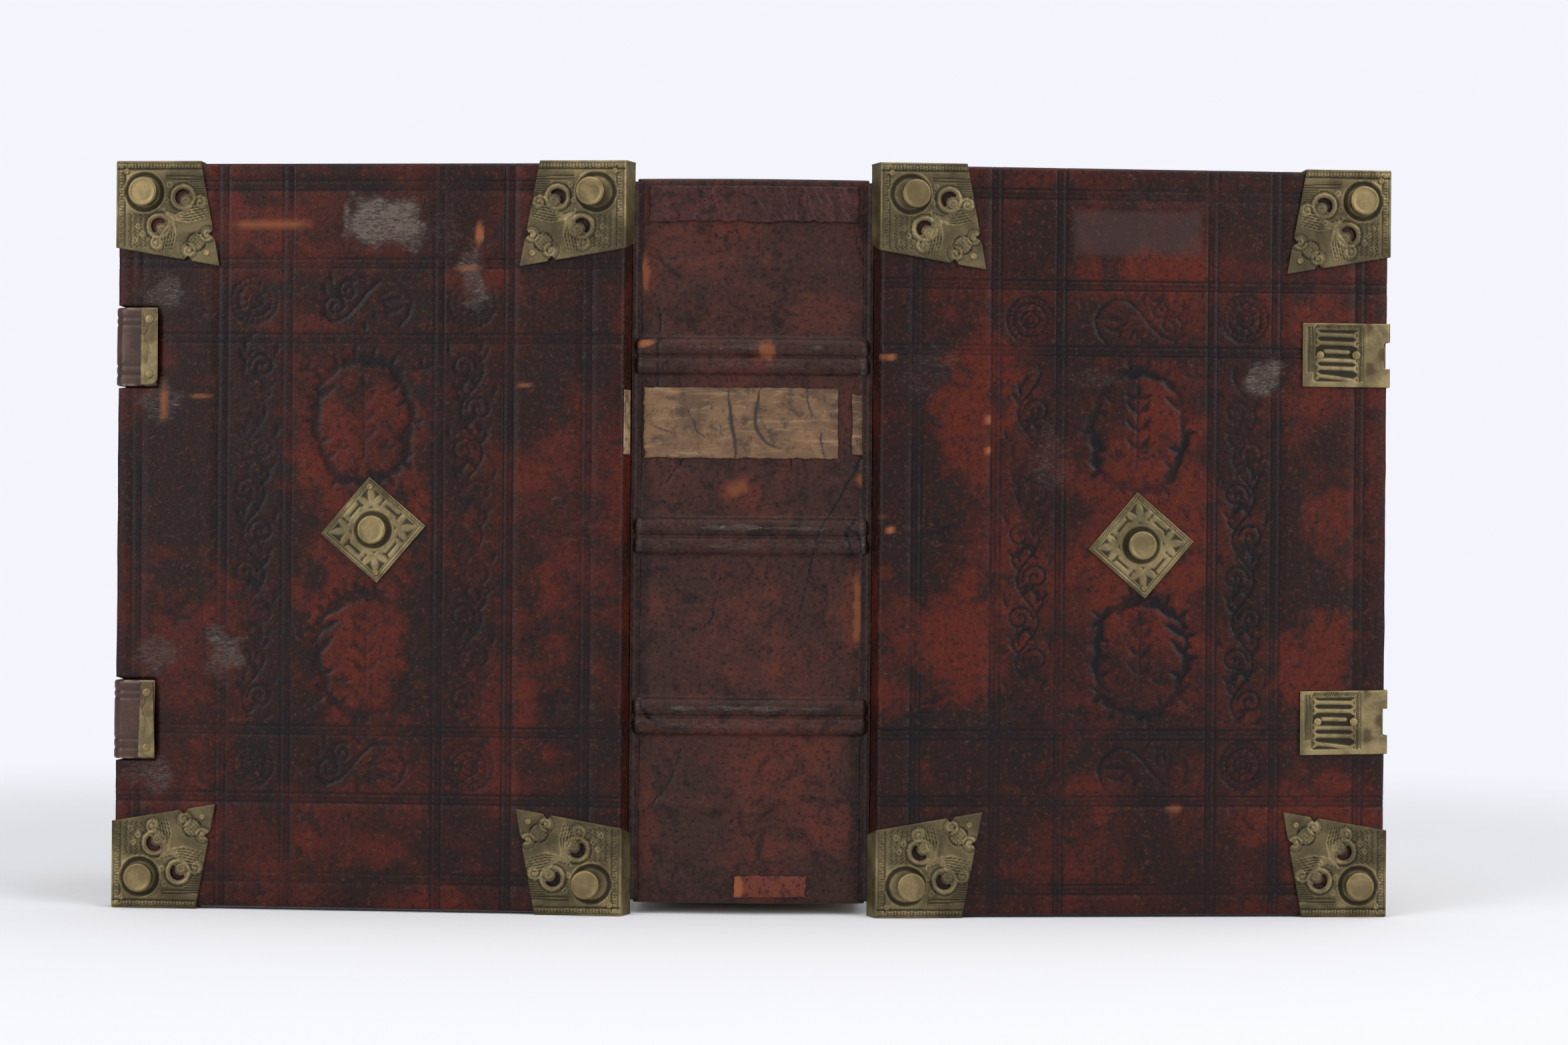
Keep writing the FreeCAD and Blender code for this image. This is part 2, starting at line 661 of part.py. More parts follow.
def laced_cords(body, cover, channel):
    """The ends of the sewing cords, or the open channels in the board that they lie in."""
    sign = COVERS[cover]
    clear = "lace_clear" if channel else "0"
    start = f"(joint_gap + bevel_run + lace_start - {clear})"
    face = sketch_on(body, "YZ_Plane", f"{sign} * {start}")
    middles = [f"{band} {side} cord_pair / 2" for band in BAND_Z.values() for side in "+-"]
    for middle in middles:
        if channel:
            half = "(cord_round + lace_clear)"
            rectangle(
                face, f"{middle} - {half}", f"{middle} + {half}",
                f"{WOOD_TOP} - 2 * {half}", "cover_thick",
            )
        else:
            many_sided(face, middle, f"{WOOD_TOP} - cord_round - lace_clear", "cord_round", 6)
    pad(body, face, f"lace_long + 2 * {clear}", back=sign < 0)


def nail_spots(cover):
    """Each nail of a cover as x, y and the height of the face that its head lies on."""
    spots = []
    for name, end, side in corner_places():
        corner = Corner(cover, end, side)
        spots.append(corner.at("nail_corner", "nail_corner"))
        spots.append(corner.at("corner_tip_along - nail_tip", "corner_tip_down - nail_tip"))
    x, y = centre_of(cover)
    reach = "(diamond_side / sqrt(2) - nail_diamond)"
    lowest = f"{y} - {reach} * cos(diamond_turn)"
    spots.append((f"{x} + {reach} * sin(diamond_turn)", lowest))
    if cover == "back":
        spots.append((f"{x} - {reach} * sin(diamond_turn)", f"{y} + {reach} * cos(diamond_turn)"))
    return spots


def clasp_nail_spots(cover):
    """The nails that hold the catch plates, or the anchor plates over the straps."""
    sign = COVERS[cover]
    spots = []
    for middle in clasp_heights(cover).values():
        if cover == "front":
            x = f"{sign} * ({FORE_FACE} - catch_long + catch_nail)"
            far = f"{sign} * ({FORE_FACE} - catch_long + catch_nail + catch_nail_apart)"
            spots += [(x, middle), (far, middle)]
        else:
            x = f"{sign} * ({FORE_FACE} - anchor_inset - anchor_wide / 2)"
            spots += [(x, f"{middle} {side} (anchor_high / 2 - anchor_nail)") for side in "+-"]
    return spots


def nails(body, spots, face):
    """Nails with six-sided heads and square shanks, driven through a plate."""
    shanks = sketch_on(body, "XY_Plane", face)
    for x, y in spots:
        many_sided(shanks, x, y, "nail_shank", 4)
    pad(body, shanks, "nail_deep", back=True)
    heads = sketch_on(body, "XY_Plane", face)
    for x, y in spots:
        many_sided(heads, x, y, "nail_round", 6)
    pad(body, heads, "nail_high")


def between(first, second, share):
    """A point on the way from the first corner-frame point to the second."""
    return tuple(f"({a}) + (({b}) - ({a})) * ({share})" for a, b in zip(first, second))


def notched_side(corner, base, tip, long, inward):
    """One inner side of a corner plate, with a small notch before its tip."""
    notch = f"(1 - notch_back / {long})"
    half = f"(notch_half / {long})"
    middle = between(base, tip, notch)
    return [
        corner.at(*between(base, tip, f"{notch} - {half}")),
        corner.at(f"{middle[0]} - {inward[0]}", f"{middle[1]} - {inward[1]}"),
        corner.at(*between(base, tip, f"{notch} + {half}")),
    ]


MOON_TURNS = (-90, -30, 30, 90)


def crescent(sketch, corner, along, down):
    """A moon-shaped opening pierced through a corner plate."""
    points = [
        corner.at(f"{along} + moon_bulge * cos({turn})", f"{down} + moon_round * sin({turn})")
        for turn in MOON_TURNS
    ]
    points += [
        corner.at(f"{along} + moon_hollow", f"{down} {side} moon_round / 3") for side in "+-"
    ]
    closed_loop(sketch, points)


def leaf(sketch, corner):
    """A pointed leaf that runs towards the tip of a corner plate."""
    points = [corner.at("leaf_start", "leaf_start")]
    for share, side in ((0.35, "+"), (0.65, "+"), (1, "+"), (0.65, "-"), (0.35, "-")):
        spot = f"(leaf_start + (leaf_end - leaf_start) * {share})"
        wide = "0" if share == 1 else "leaf_wide"
        other = "-" if side == "+" else "+"
        points.append(corner.at(f"{spot} {side} {wide}", f"{spot} {other} {wide}"))
    closed_loop(sketch, points)


SCROLL_SIDES = 8


def corner_piece(cover, end, side):
    """A brass corner: a kite on the outer face, folded over two edges, pierced and embossed."""
    corner = Corner(cover, end, side)
    brass = sub_part(f"{cover}_{end}_{side}_corner", cover)
    kite = sketch_on(brass, "XY_Plane", "cover_thick")
    along = ("corner_along", "0")
    down = ("0", "corner_down")
    tip = ("corner_tip_along", "corner_tip_down")
    first = notched_side(corner, along, tip, tip[1], ("notch_size", "0"))
    second = notched_side(corner, down, tip, tip[0], ("0", "notch_size"))
    closed_loop(
        kite,
        [corner.at("0", "0"), corner.at(*along), *first, corner.at(*tip), *reversed(second),
         corner.at(*down)],
    )
    pad(brass, kite, "plate_thick")

    flange = sketch_on(brass, "XY_Plane", "flange_foot")
    closed_loop(flange, [
        corner.at("0", "0"), corner.at("corner_along", "0"),
        corner.at("corner_along", "plate_thick"), corner.at("0", "plate_thick"),
    ])
    pad(brass, flange, f"{PLATE_TOP} - flange_foot")

    slope = "bevel_run / cover_thick" if side == "spine" else "0"
    inner = f"joint_gap + {slope} * " if side == "spine" else "cover_reach + 0 * "
    outward = "- plate_thick" if side == "spine" else "+ plate_thick"
    sign = COVERS[cover]
    start = f"{BOOK_HIGH} - corner_down" if end == "head" else "0"
    fold = sketch_on(brass, "XZ_Plane", f"-({start})")
    closed_loop(fold, [
        (f"{sign} * ({inner} flange_foot)", "flange_foot"),
        (f"{sign} * ({inner} flange_foot {outward})", "flange_foot"),
        (f"{sign} * ({inner} {PLATE_TOP} {outward})", PLATE_TOP),
        (f"{sign} * ({inner} {PLATE_TOP})", PLATE_TOP),
    ])
    pad(brass, fold, "corner_down", back=True)

    moons = [("moon_along", "moon_down"), ("moon_across", "moon_side")]
    relief = sketch_on(brass, "XY_Plane", PLATE_TOP)
    for place in moons:
        x, y = corner.at(*place)
        many_sided(relief, x, y, "(moon_round + scroll_gap)", SCROLL_SIDES)
        many_sided(relief, x, y, "(moon_round + scroll_gap + scroll_wide)", SCROLL_SIDES)
    near = "border_inset"
    far = "(border_inset + border_wide)"
    closed_loop(relief, [
        corner.at("border_short", near), corner.at("corner_along - border_short", near),
        corner.at("corner_along - border_short", far), corner.at("border_short", far),
    ])
    closed_loop(relief, [
        corner.at(near, "2 * border_short"), corner.at(near, "corner_down - border_short"),
        corner.at(far, "corner_down - border_short"), corner.at(far, "2 * border_short"),
    ])
    leaf(relief, corner)
    pad(brass, relief, "relief_high")

    openings = sketch_on(brass, "XY_Plane", PLATE_TOP)
    for place in moons:
        crescent(openings, corner, *place)
    x, y = corner.boss()
    many_sided(openings, x, y, "(shank_round + shank_clear)", 4)
    pocket(brass, openings, "plate_thick")
    nail_holes(brass, corner_nails(corner), PLATE_TOP, "plate_thick")


def corner_nails(corner):
    return [
        corner.at("nail_corner", "nail_corner"),
        corner.at("corner_tip_along - nail_tip", "corner_tip_down - nail_tip"),
    ]


BOSS_SIDES = 12


def boss(label, cover, x, y):
    """A flat-topped boss in one piece with its shank."""
    stud = sub_part(label, cover)
    shank = sketch_on(stud, "XY_Plane", "cover_thick - shank_deep")
    many_sided(shank, x, y, "shank_round", 4)
    pad(stud, shank, "shank_deep + plate_thick")
    head = sketch_on(stud, "XY_Plane", PLATE_TOP)
    many_sided(head, x, y, "boss_round", BOSS_SIDES)
    pad(stud, head, "boss_high")
    body = stud.Tip
    rims = []
    top = number(f"{PLATE_TOP} + boss_high")
    for index, edge in enumerate(body.Shape.Edges, start=1):
        if abs(edge.BoundBox.ZMin - top) < 1e-4:
            rims.append(f"Edge{index}")
    bevel = stud.newObject("PartDesign::Chamfer", label + "_bevel")
    bevel.Base = (body, rims)
    bind(bevel, "Size", "boss_round - boss_top")
    doc.recompute()


PETAL = ((0, 0), (0.3, -1), (0.7, -1), (1, 0), (0.7, 1), (0.3, 1))


def centre_plate(cover):
    """A square brass plate set on its corner, with four leaves round its boss."""
    x, y = centre_of(cover)
    plate = sub_part(f"{cover}_centre_plate", cover)
    square = sketch_on(plate, "XY_Plane", "cover_thick")
    reach = "diamond_side / sqrt(2)"
    angles = [f"(diamond_turn + {90 * step})" for step in range(4)]
    closed_loop(square, [
        (f"{x} + {reach} * cos({angle})", f"{y} + {reach} * sin({angle})") for angle in angles
    ])
    pad(plate, square, "plate_thick")
    leaves = sketch_on(plate, "XY_Plane", PLATE_TOP)
    for step in range(4):
        angle = f"(diamond_turn + {90 * step + 45})"
        points = []
        for share, wide in PETAL:
            long = f"(petal_start + (petal_end - petal_start) * {share})"
            points.append((
                f"{x} + {long} * cos({angle}) - petal_wide * {wide} * sin({angle})",
                f"{y} + {long} * sin({angle}) + petal_wide * {wide} * cos({angle})",
            ))
        closed_loop(leaves, points)
    pad(plate, leaves, "petal_high")
    hole = sketch_on(plate, "XY_Plane", PLATE_TOP)
    many_sided(hole, x, y, "(shank_round + shank_clear)", 4)
    pocket(plate, hole, "plate_thick")
    nail_holes(plate, nail_spots(cover)[8:], PLATE_TOP, "plate_thick")


def spindle(sketch, left, right, middle):
    """One raised bar, wider at its ends and its middle."""
    half = "bar_high / 2"
    neck = "(bar_high / 2 - bar_neck / 2)"
    quarter = [f"({left}) + (({right}) - ({left})) * {share}" for share in (0.25, 0.5, 0.75)]
    top = [
        (right, f"{middle} + {half}"), (quarter[2], f"{middle} + {neck}"),
        (quarter[1], f"{middle} + {half}"), (quarter[0], f"{middle} + {neck}"),
        (left, f"{middle} + {half}"),
    ]
    closed_loop(sketch, [
        (left, f"{middle} - {half}"), (quarter[0], f"{middle} - {neck}"),
        (quarter[1], f"{middle} - {half}"), (quarter[2], f"{middle} - {neck}"),
        (right, f"{middle} - {half}"), *top,
    ])


def catch_plate(name, middle):
    """A brass catch folded over the fore edge, slotted at the fold for the strap's hook."""
    plate = sub_part(f"{name}_catch_plate", "front")
    half = "catch_high / 2"
    left = f"({FORE_FACE} - catch_long)"
    skew = "catch_skew" if name == "lower" else "0"
    face = sketch_on(plate, "XY_Plane", "cover_thick")
    closed_loop(face, [
        (left, f"{middle} - {half} - {skew}"), (FORE_FACE, f"{middle} - {half}"),
        (FORE_FACE, f"{middle} - slot_high / 2"),
        (f"{FORE_FACE} - slot_deep", f"{middle} - slot_high / 2"),
        (f"{FORE_FACE} - slot_deep", f"{middle} + slot_high / 2"),
        (FORE_FACE, f"{middle} + slot_high / 2"),
        (FORE_FACE, f"{middle} + {half}"), (left, f"{middle} + {half} - {skew}"),
    ])
    pad(plate, face, "plate_thick")
    fold = sketch_on(plate, "XY_Plane", "flange_foot")
    for side in ("-", "+"):
        rectangle(
            fold, "cover_reach", FORE_FACE,
            f"{middle} {side} slot_high / 2", f"{middle} {side} {half}",
        )
    pad(plate, fold, f"{PLATE_TOP} - flange_foot")
    relief = sketch_on(plate, "XY_Plane", PLATE_TOP)
    for near in (f"({left} + rope_inset)", f"({FORE_FACE} - rope_second - rope_wide)"):
        rectangle(
            relief, near, f"{near} + rope_wide",
            f"{middle} - {half} + rope_short", f"{middle} + {half} - rope_short",
        )
    for step in (-1.5, -0.5, 0.5, 1.5):
        start = f"({left} + rope_inset + rope_wide + bar_gap)"
        spindle(relief, start, f"{start} + bar_long", f"({middle} + {step} * bar_step)")
    pad(plate, relief, "relief_high")
    spots = clasp_nail_spots("front")
    mine = spots[:2] if name == "upper" else spots[2:]
    nail_holes(plate, mine, PLATE_TOP, "plate_thick")


def brass_of(cover):
    """All the brass on one cover: corners, bosses, centre plate and nails."""
    for name, end, side in corner_places():
        corner_piece(cover, end, side)
        x, y = Corner(cover, end, side).boss()
        boss(f"{cover}_{name}_boss", cover, x, y)
    centre_plate(cover)
    x, y = centre_of(cover)
    boss(f"{cover}_centre_boss", cover, x, y)
    nails(sub_part(f"{cover}_plate_nails", cover), nail_spots(cover), PLATE_TOP)


STRAP_IN = "(cover_reach - strap_bed + strap_lift)"
STRAP_OUT = f"({STRAP_IN} + strap_thick)"
STRAP_BED = "(cover_thick - strap_bed + strap_lift)"
STRAP_TOP = f"({STRAP_BED} + strap_thick)"
SPAN = "(block_thick + 2 * side_clear + 2 * paper_thick)"
STRAP_END = f"({SPAN} - strap_short)"


def strap_root(name, middle):
    """The fixed end of a strap, let into the board and drawn round its fore edge."""
    strap = sub_part(f"{name}_strap_root", "back")
    section = sketch_on(strap, "XZ_Plane", f"-({middle} - strap_high / 2)")
    start = "-(cover_reach - strap_start)"
    closed_loop(section, [
        (start, STRAP_BED), (f"-{STRAP_IN}", STRAP_BED), (f"-{STRAP_IN}", "strap_fold"),
        (f"-{STRAP_OUT}", "strap_fold"), (f"-{STRAP_OUT}", f"{STRAP_TOP} - strap_bend"),
        (f"-({STRAP_OUT} - strap_bend)", STRAP_TOP, "strap_bend", -1), (start, STRAP_TOP),
    ])
    pad(strap, section, "strap_high", back=True)
    spots = clasp_nail_spots("back")
    nail_holes(strap, spots[:2] if name == "upper" else spots[2:], STRAP_TOP, "strap_thick")


def anchor_plate(name, middle):
    """A narrow brass plate nailed across the start of a strap."""
    plate = sub_part(f"{name}_anchor_plate", "back")
    face = sketch_on(plate, "XY_Plane", STRAP_TOP)
    outer = f"-({FORE_FACE} - anchor_inset)"
    inner = f"-({FORE_FACE} - anchor_inset - anchor_wide)"
    head = f"{middle} + anchor_high / 2"
    foot = f"{middle} - anchor_high / 2"
    if name == "upper":
        points = [
            (outer, foot), (f"{inner} - anchor_cut", foot), (inner, f"{foot} + anchor_cut"),
            (inner, f"{head} - anchor_cut"), (f"{inner} - anchor_cut", head), (outer, head),
        ]
    else:
        points = [
            (outer, foot), (inner, foot),
            (f"{outer} + anchor_narrow", head), (outer, head),
        ]
    closed_loop(face, points)
    pad(plate, face, "plate_thick")
    spots = clasp_nail_spots("back")
    mine = spots[:2] if name == "upper" else spots[2:]
    nail_holes(plate, mine, f"{STRAP_TOP} + plate_thick", "plate_thick")


def rivet_spots(middle):
    across = f"-({STRAP_END} - hook_long + rivet_inset)"
    return [(f"{middle} + ({step}) * rivet_step", across) for step in (-1, 0, 1)]


def rivet_holes(body, middle, face, deep, back):
    holes = sketch_on(body, "YZ_Plane", face)
    for y, z in rivet_spots(middle):
        many_sided(holes, y, z, "(rivet_round + rivet_clear)", 6)
    pocket(body, holes, deep, back=back)


def strap_tail(name, middle):
    """The swinging part of a strap and the brass hook that ends it."""
    leather = sub_part(f"{name}_strap", "back")
    section = sketch_on(leather, "XY_Plane", f"-{STRAP_END}")
    rectangle(
        section, f"-{STRAP_OUT}", f"-{STRAP_IN}",
        f"{middle} - strap_high / 2", f"{middle} + strap_high / 2",
    )
    pad(leather, section, f"{STRAP_END} + strap_fold - fold_gap")
    rivet_holes(leather, middle, f"-{STRAP_IN}", "strap_thick", back=False)

    catch = clasp_heights("front")[name]
    hook = sub_part(f"{name}_hook_plate", "back")
    face = sketch_on(hook, "YZ_Plane", f"-{STRAP_OUT}")
    half = "hook_wide / 2"
    start = f"-({STRAP_END} - hook_long)"
    neck = f"-{STRAP_END}"
    tip = f"-({SPAN} + tongue_reach)"
    closed_loop(face, [
        (f"{middle} - {half}", start), (f"{middle} + {half}", start),
        (f"{middle} + {half}", f"{neck} + hook_taper"), (f"{catch} + tongue_wide / 2", neck),
        (f"{catch} + tongue_wide / 2", tip), (f"{catch} - tongue_wide / 2", tip),
        (f"{catch} - tongue_wide / 2", neck), (f"{middle} - {half}", f"{neck} + hook_taper"),
    ])
    pad(hook, face, "plate_thick", back=True)
    claw = sketch_on(hook, "YZ_Plane", f"-({STRAP_OUT} + plate_thick)")
    rectangle(
        claw, f"{catch} - tongue_wide / 2", f"{catch} + tongue_wide / 2",
        tip, f"{tip} + tip_thick",
    )
    pad(hook, claw, "plate_thick + tip_dip")
    rivet_holes(hook, middle, f"-{STRAP_OUT}", "plate_thick", back=False)

    backing = sub_part(f"{name}_hook_backplate", "back")
    face = sketch_on(backing, "YZ_Plane", f"-{STRAP_IN}")
    rectangle(face, f"{middle} - {half}", f"{middle} + {half}", start, f"{neck} + plate_thick")
    pad(backing, face, "plate_thick")
    rivet_holes(backing, middle, f"-{STRAP_IN} + plate_thick", "plate_thick", back=False)

    rivets = sub_part(f"{name}_hook_rivets", "back")
    face = sketch_on(rivets, "YZ_Plane", f"-({STRAP_OUT} + plate_thick + rivet_rise)")
    for y, z in rivet_spots(middle):
        many_sided(face, y, z, "rivet_round", 6)
    pad(rivets, face, "strap_thick + 2 * plate_thick + 2 * rivet_rise")


def label_strip():
    """The torn end of the paper label, left on the spine edge of the back board."""
    strip = sub_part("back_label_strip", "back")
    foot = f"{BAND_Z['upper']} - label_drop - label_high + label_lift"
    section = sketch_on(strip, "XZ_Plane", f"-({foot})")
    slope = "joint_gap + bevel_run / cover_thick * "
    closed_loop(section, [
        (f"-({slope} strip_foot - skin_gap)", "strip_foot"),
        (f"-({slope} strip_foot - skin_gap - label_thick)", "strip_foot"),
        (f"-({slope} strip_top - skin_gap - label_thick)", "strip_top"),
        (f"-({slope} strip_top - skin_gap)", "strip_top"),
    ])
    pad(strip, section, "label_high - 2 * label_lift", back=True)


text_block()
spine_leather()
sewing_cords()
endbands()
spine_paper_and_repairs()
for cover in COVERS:
    covered_board(cover)
    brass_of(cover)
for name, middle in clasp_heights("front").items():
    catch_plate(name, middle)
nails(sub_part("front_catch_nails", "front"), clasp_nail_spots("front"), PLATE_TOP)
for name, middle in clasp_heights("back").items():
    strap_root(name, middle)
    anchor_plate(name, middle)
    strap_tail(name, middle)
nails(sub_part("back_anchor_nails", "back"), clasp_nail_spots("back"), f"{STRAP_TOP} + plate_thick")
label_strip()

failed = [item.Label for item in doc.Objects if set(item.State) & {"Invalid", "Error"}]
for piece in kept:
    if piece.Shape.isNull() or not piece.Shape.isValid():
        failed.append(piece.Label)
if failed:
    raise RuntimeError("not built: " + ", ".join(failed))
for piece in kept:
    piece.Shape.exportStep(f"parts/{piece.Label}.step")
    print(piece.Label, round(piece.Shape.Volume, 2), len(piece.Shape.Solids))
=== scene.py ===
import math

import bpy
import numpy as np
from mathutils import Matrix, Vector
from mathutils.geometry import delaunay_2d_cdt


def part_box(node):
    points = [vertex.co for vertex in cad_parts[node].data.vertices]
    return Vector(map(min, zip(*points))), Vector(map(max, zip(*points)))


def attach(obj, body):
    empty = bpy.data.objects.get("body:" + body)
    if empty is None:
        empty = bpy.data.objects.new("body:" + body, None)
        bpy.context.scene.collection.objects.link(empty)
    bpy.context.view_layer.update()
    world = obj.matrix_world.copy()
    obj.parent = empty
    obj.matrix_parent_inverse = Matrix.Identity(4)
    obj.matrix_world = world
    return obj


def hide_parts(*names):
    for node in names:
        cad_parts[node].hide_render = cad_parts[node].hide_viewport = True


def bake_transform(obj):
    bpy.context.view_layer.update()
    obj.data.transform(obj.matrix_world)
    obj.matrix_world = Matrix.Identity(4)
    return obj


# An antique leather book with brass corners, standing on its tail with both covers swung open.
# Sizes are in millimetres until a mesh is made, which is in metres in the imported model's frame.
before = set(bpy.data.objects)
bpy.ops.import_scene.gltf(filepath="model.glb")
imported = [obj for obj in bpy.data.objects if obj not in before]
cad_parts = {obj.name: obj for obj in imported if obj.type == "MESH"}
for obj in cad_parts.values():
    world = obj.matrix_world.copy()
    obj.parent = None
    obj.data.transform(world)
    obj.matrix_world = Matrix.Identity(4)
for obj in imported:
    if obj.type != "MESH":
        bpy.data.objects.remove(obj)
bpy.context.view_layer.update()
MM = 0.001


# ---------------------------------------------------------------------------------------------
# The table and the light. A pale sweep of paper under soft lamps, seen from straight in front,
# a little right of the spine. The far paper takes the backdrop's colour, so no edge shows.
class Value:
    """A socket that adds Math nodes to its tree as it is used in an expression."""

    def __init__(self, tree, socket):
        self.tree = tree
        self.socket = socket

    def _math(self, operation, first, second):
        return self.tree.node("ShaderNodeMath", {"operation": operation}, {0: first, 1: second})

    def __add__(self, other):
        return self._math("ADD", self, other)

    __radd__ = __add__

    def __mul__(self, other):
        return self._math("MULTIPLY", self, other)

    __rmul__ = __mul__

    def __sub__(self, other):
        return self._math("SUBTRACT", self, other)

    def __rsub__(self, other):
        return self._math("SUBTRACT", other, self)

    def __pow__(self, other):
        return self._math("POWER", self, other)

    def clip(self):
        return self.tree.node("ShaderNodeClamp", {}, {"Value": self})


class Finish:
    """A material that is built node by node."""

    def __init__(self, name):
        self.material = bpy.data.materials.new(name)
        self.material.use_nodes = True
        self.nodes = self.material.node_tree.nodes
        self.links = self.material.node_tree.links
        self.nodes.clear()
        self.out = self.nodes.new("ShaderNodeOutputMaterial")

    def node(self, kind, settings=None, values=None, out=0):
        made = self.nodes.new(kind)
        for key, value in (settings or {}).items():
            if key == "stops":
                ramp = made.color_ramp
                while len(ramp.elements) < len(value):
                    ramp.elements.new(0.5)
                for element, (place, colour) in zip(ramp.elements, value):
                    element.position = place
                    element.color = (*colour, 1.0)
            else:
                setattr(made, key, value)
        for key, value in (values or {}).items():
            if isinstance(value, Value):
                self.links.new(value.socket, made.inputs[key])
            else:
                made.inputs[key].default_value = value
        return Value(self, made.outputs[out])

    def place(self):
        return self.node("ShaderNodeTexCoord", out="Object")

    def field(self, name):
        return self.node("ShaderNodeAttribute", {"attribute_name": name}, out="Fac")

    def clouds(self, at, scale, detail=4.0, rough=0.6, warp=0.0):
        return self.node(
            "ShaderNodeTexNoise", {},
            {"Vector": at, "Scale": scale, "Detail": detail, "Roughness": rough, "Distortion": warp},
        )

    def cells(self, at, scale, feature="F1"):
        return self.node(
            "ShaderNodeTexVoronoi", {"feature": feature}, {"Vector": at, "Scale": scale}
        )

    def between(self, value, low, high):
        """Nothing below low, one above high, and a smooth rise between them."""
        return self.node(
            "ShaderNodeMapRange", {"interpolation_type": "SMOOTHSTEP"},
            {"Value": value, "From Min": low, "From Max": high},
        )

    def mix(self, share, first, second, blend="MIX"):
        values = {"Factor": share}
        for key, colour in ((6, first), (7, second)):
            values[key] = colour if isinstance(colour, Value) else (*colour, 1.0)
        return self.node(
            "ShaderNodeMix", {"data_type": "RGBA", "blend_type": blend}, values, out=2
        )

    def stretch(self, at, x, y, z):
        return self.node("ShaderNodeMapping", {}, {"Vector": at, "Scale": (x, y, z)})

    def bump(self, height, distance, strength=1.0, below=None):
        values = {"Height": height, "Distance": distance, "Strength": strength}
        if below is not None:
            values["Normal"] = below
        return self.node("ShaderNodeBump", {}, values)

    def surface(self, colour, rough, metal=0.0, normal=None, **plain):
        shader = self.nodes.new("ShaderNodeBsdfPrincipled")
        sockets = {"Base Color": colour, "Roughness": rough, "Metallic": metal, "Normal": normal}
        for key, value in sockets.items():
            if isinstance(value, Value):
                self.links.new(value.socket, shader.inputs[key])
            elif value is not None:
                shader.inputs[key].default_value = (
                    (*value, 1.0) if isinstance(value, tuple) else value
                )
        for key, value in plain.items():
            shader.inputs[key.replace("_", " ")].default_value = value
        self.links.new(shader.outputs[0], self.out.inputs["Surface"])
        return self.material


BACKDROP = (0.905, 0.913, 0.975)
PAPER = (0.80, 0.80, 0.83)
PAPER_SIZE, FADE_START, FADE_STOP = 24.0, 0.3, 0.8

sweep = Finish("table_paper")
at = sweep.place()
flat = sweep.node(
    "ShaderNodeVectorMath", {"operation": "LENGTH"}, {0: sweep.stretch(at, 1, 1.3, 0)}, out=1
)
far = sweep.between(flat, FADE_START, FADE_STOP)
seen = sweep.node("ShaderNodeLightPath", out="Is Camera Ray")
matt = sweep.node("ShaderNodeBsdfDiffuse", {}, {"Color": (*PAPER, 1.0)})
glow = sweep.node("ShaderNodeEmission", {}, {"Color": (*BACKDROP, 1.0)})
mixed = sweep.node("ShaderNodeMixShader", {}, {0: far * seen, 1: matt, 2: glow})
sweep.links.new(mixed.socket, sweep.out.inputs["Surface"])

bpy.ops.mesh.primitive_plane_add(size=PAPER_SIZE)
table = bpy.context.object
table.name = "table_paper"
table.data.materials.append(sweep.material)

FILL_COLOUR, FILL_STRENGTH = (0.93, 0.95, 1.0, 1.0), 0.42
world = bpy.data.worlds.new("studio")
bpy.context.scene.world = world
world.use_nodes = True
tree = world.node_tree
ray = tree.nodes.new("ShaderNodeLightPath")
fill = tree.nodes["Background"]
fill.inputs["Color"].default_value = FILL_COLOUR
fill.inputs["Strength"].default_value = FILL_STRENGTH
back = tree.nodes.new("ShaderNodeBackground")
back.inputs["Color"].default_value = (*BACKDROP, 1.0)
chooser = tree.nodes.new("ShaderNodeMixShader")
tree.links.new(ray.outputs["Is Camera Ray"], chooser.inputs[0])
tree.links.new(fill.outputs[0], chooser.inputs[1])
tree.links.new(back.outputs[0], chooser.inputs[2])
tree.links.new(chooser.outputs[0], tree.nodes["World Output"].inputs["Surface"])

# Each lamp: its name, where it stands, what it is turned to, its size and its power.
LAMPS = (
    ("lamp_over", (0.1, -0.25, 1.35), (0.0, -0.02, 0.1), (1.7, 1.1), 12.0),
    ("lamp_left", (-1.25, -1.35, 0.75), (0.0, -0.08, 0.12), (0.9, 1.1), 14.0),
    ("lamp_right", (1.35, -1.25, 0.85), (0.0, -0.08, 0.12), (0.9, 1.1), 16.0),
)
for label, spot, aim, size, power in LAMPS:
    lamp = bpy.data.lights.new(label, "AREA")
    lamp.shape = "RECTANGLE"
    lamp.size, lamp.size_y = size
    lamp.energy = power
    holder = bpy.data.objects.new(label, lamp)
    bpy.context.scene.collection.objects.link(holder)
    holder.location = spot
    away = np.array(spot) - np.array(aim)
    holder.rotation_mode = "QUATERNION"
    holder.rotation_quaternion = Vector(away).to_track_quat("Z", "Y")

EYE_LENS, EYE_AT, EYE_TILT = 70.5, (0.0107, -1.0793, 0.128), -0.44
eye = bpy.data.cameras.new("eye")
eye.sensor_width = 36.0
eye.lens = EYE_LENS
camera = bpy.data.objects.new("eye", eye)
bpy.context.scene.collection.objects.link(camera)
camera.location = EYE_AT
camera.rotation_euler = (math.radians(90), math.radians(EYE_TILT), 0)
bpy.context.scene.camera = camera
bpy.context.scene.view_settings.view_transform = "Standard"


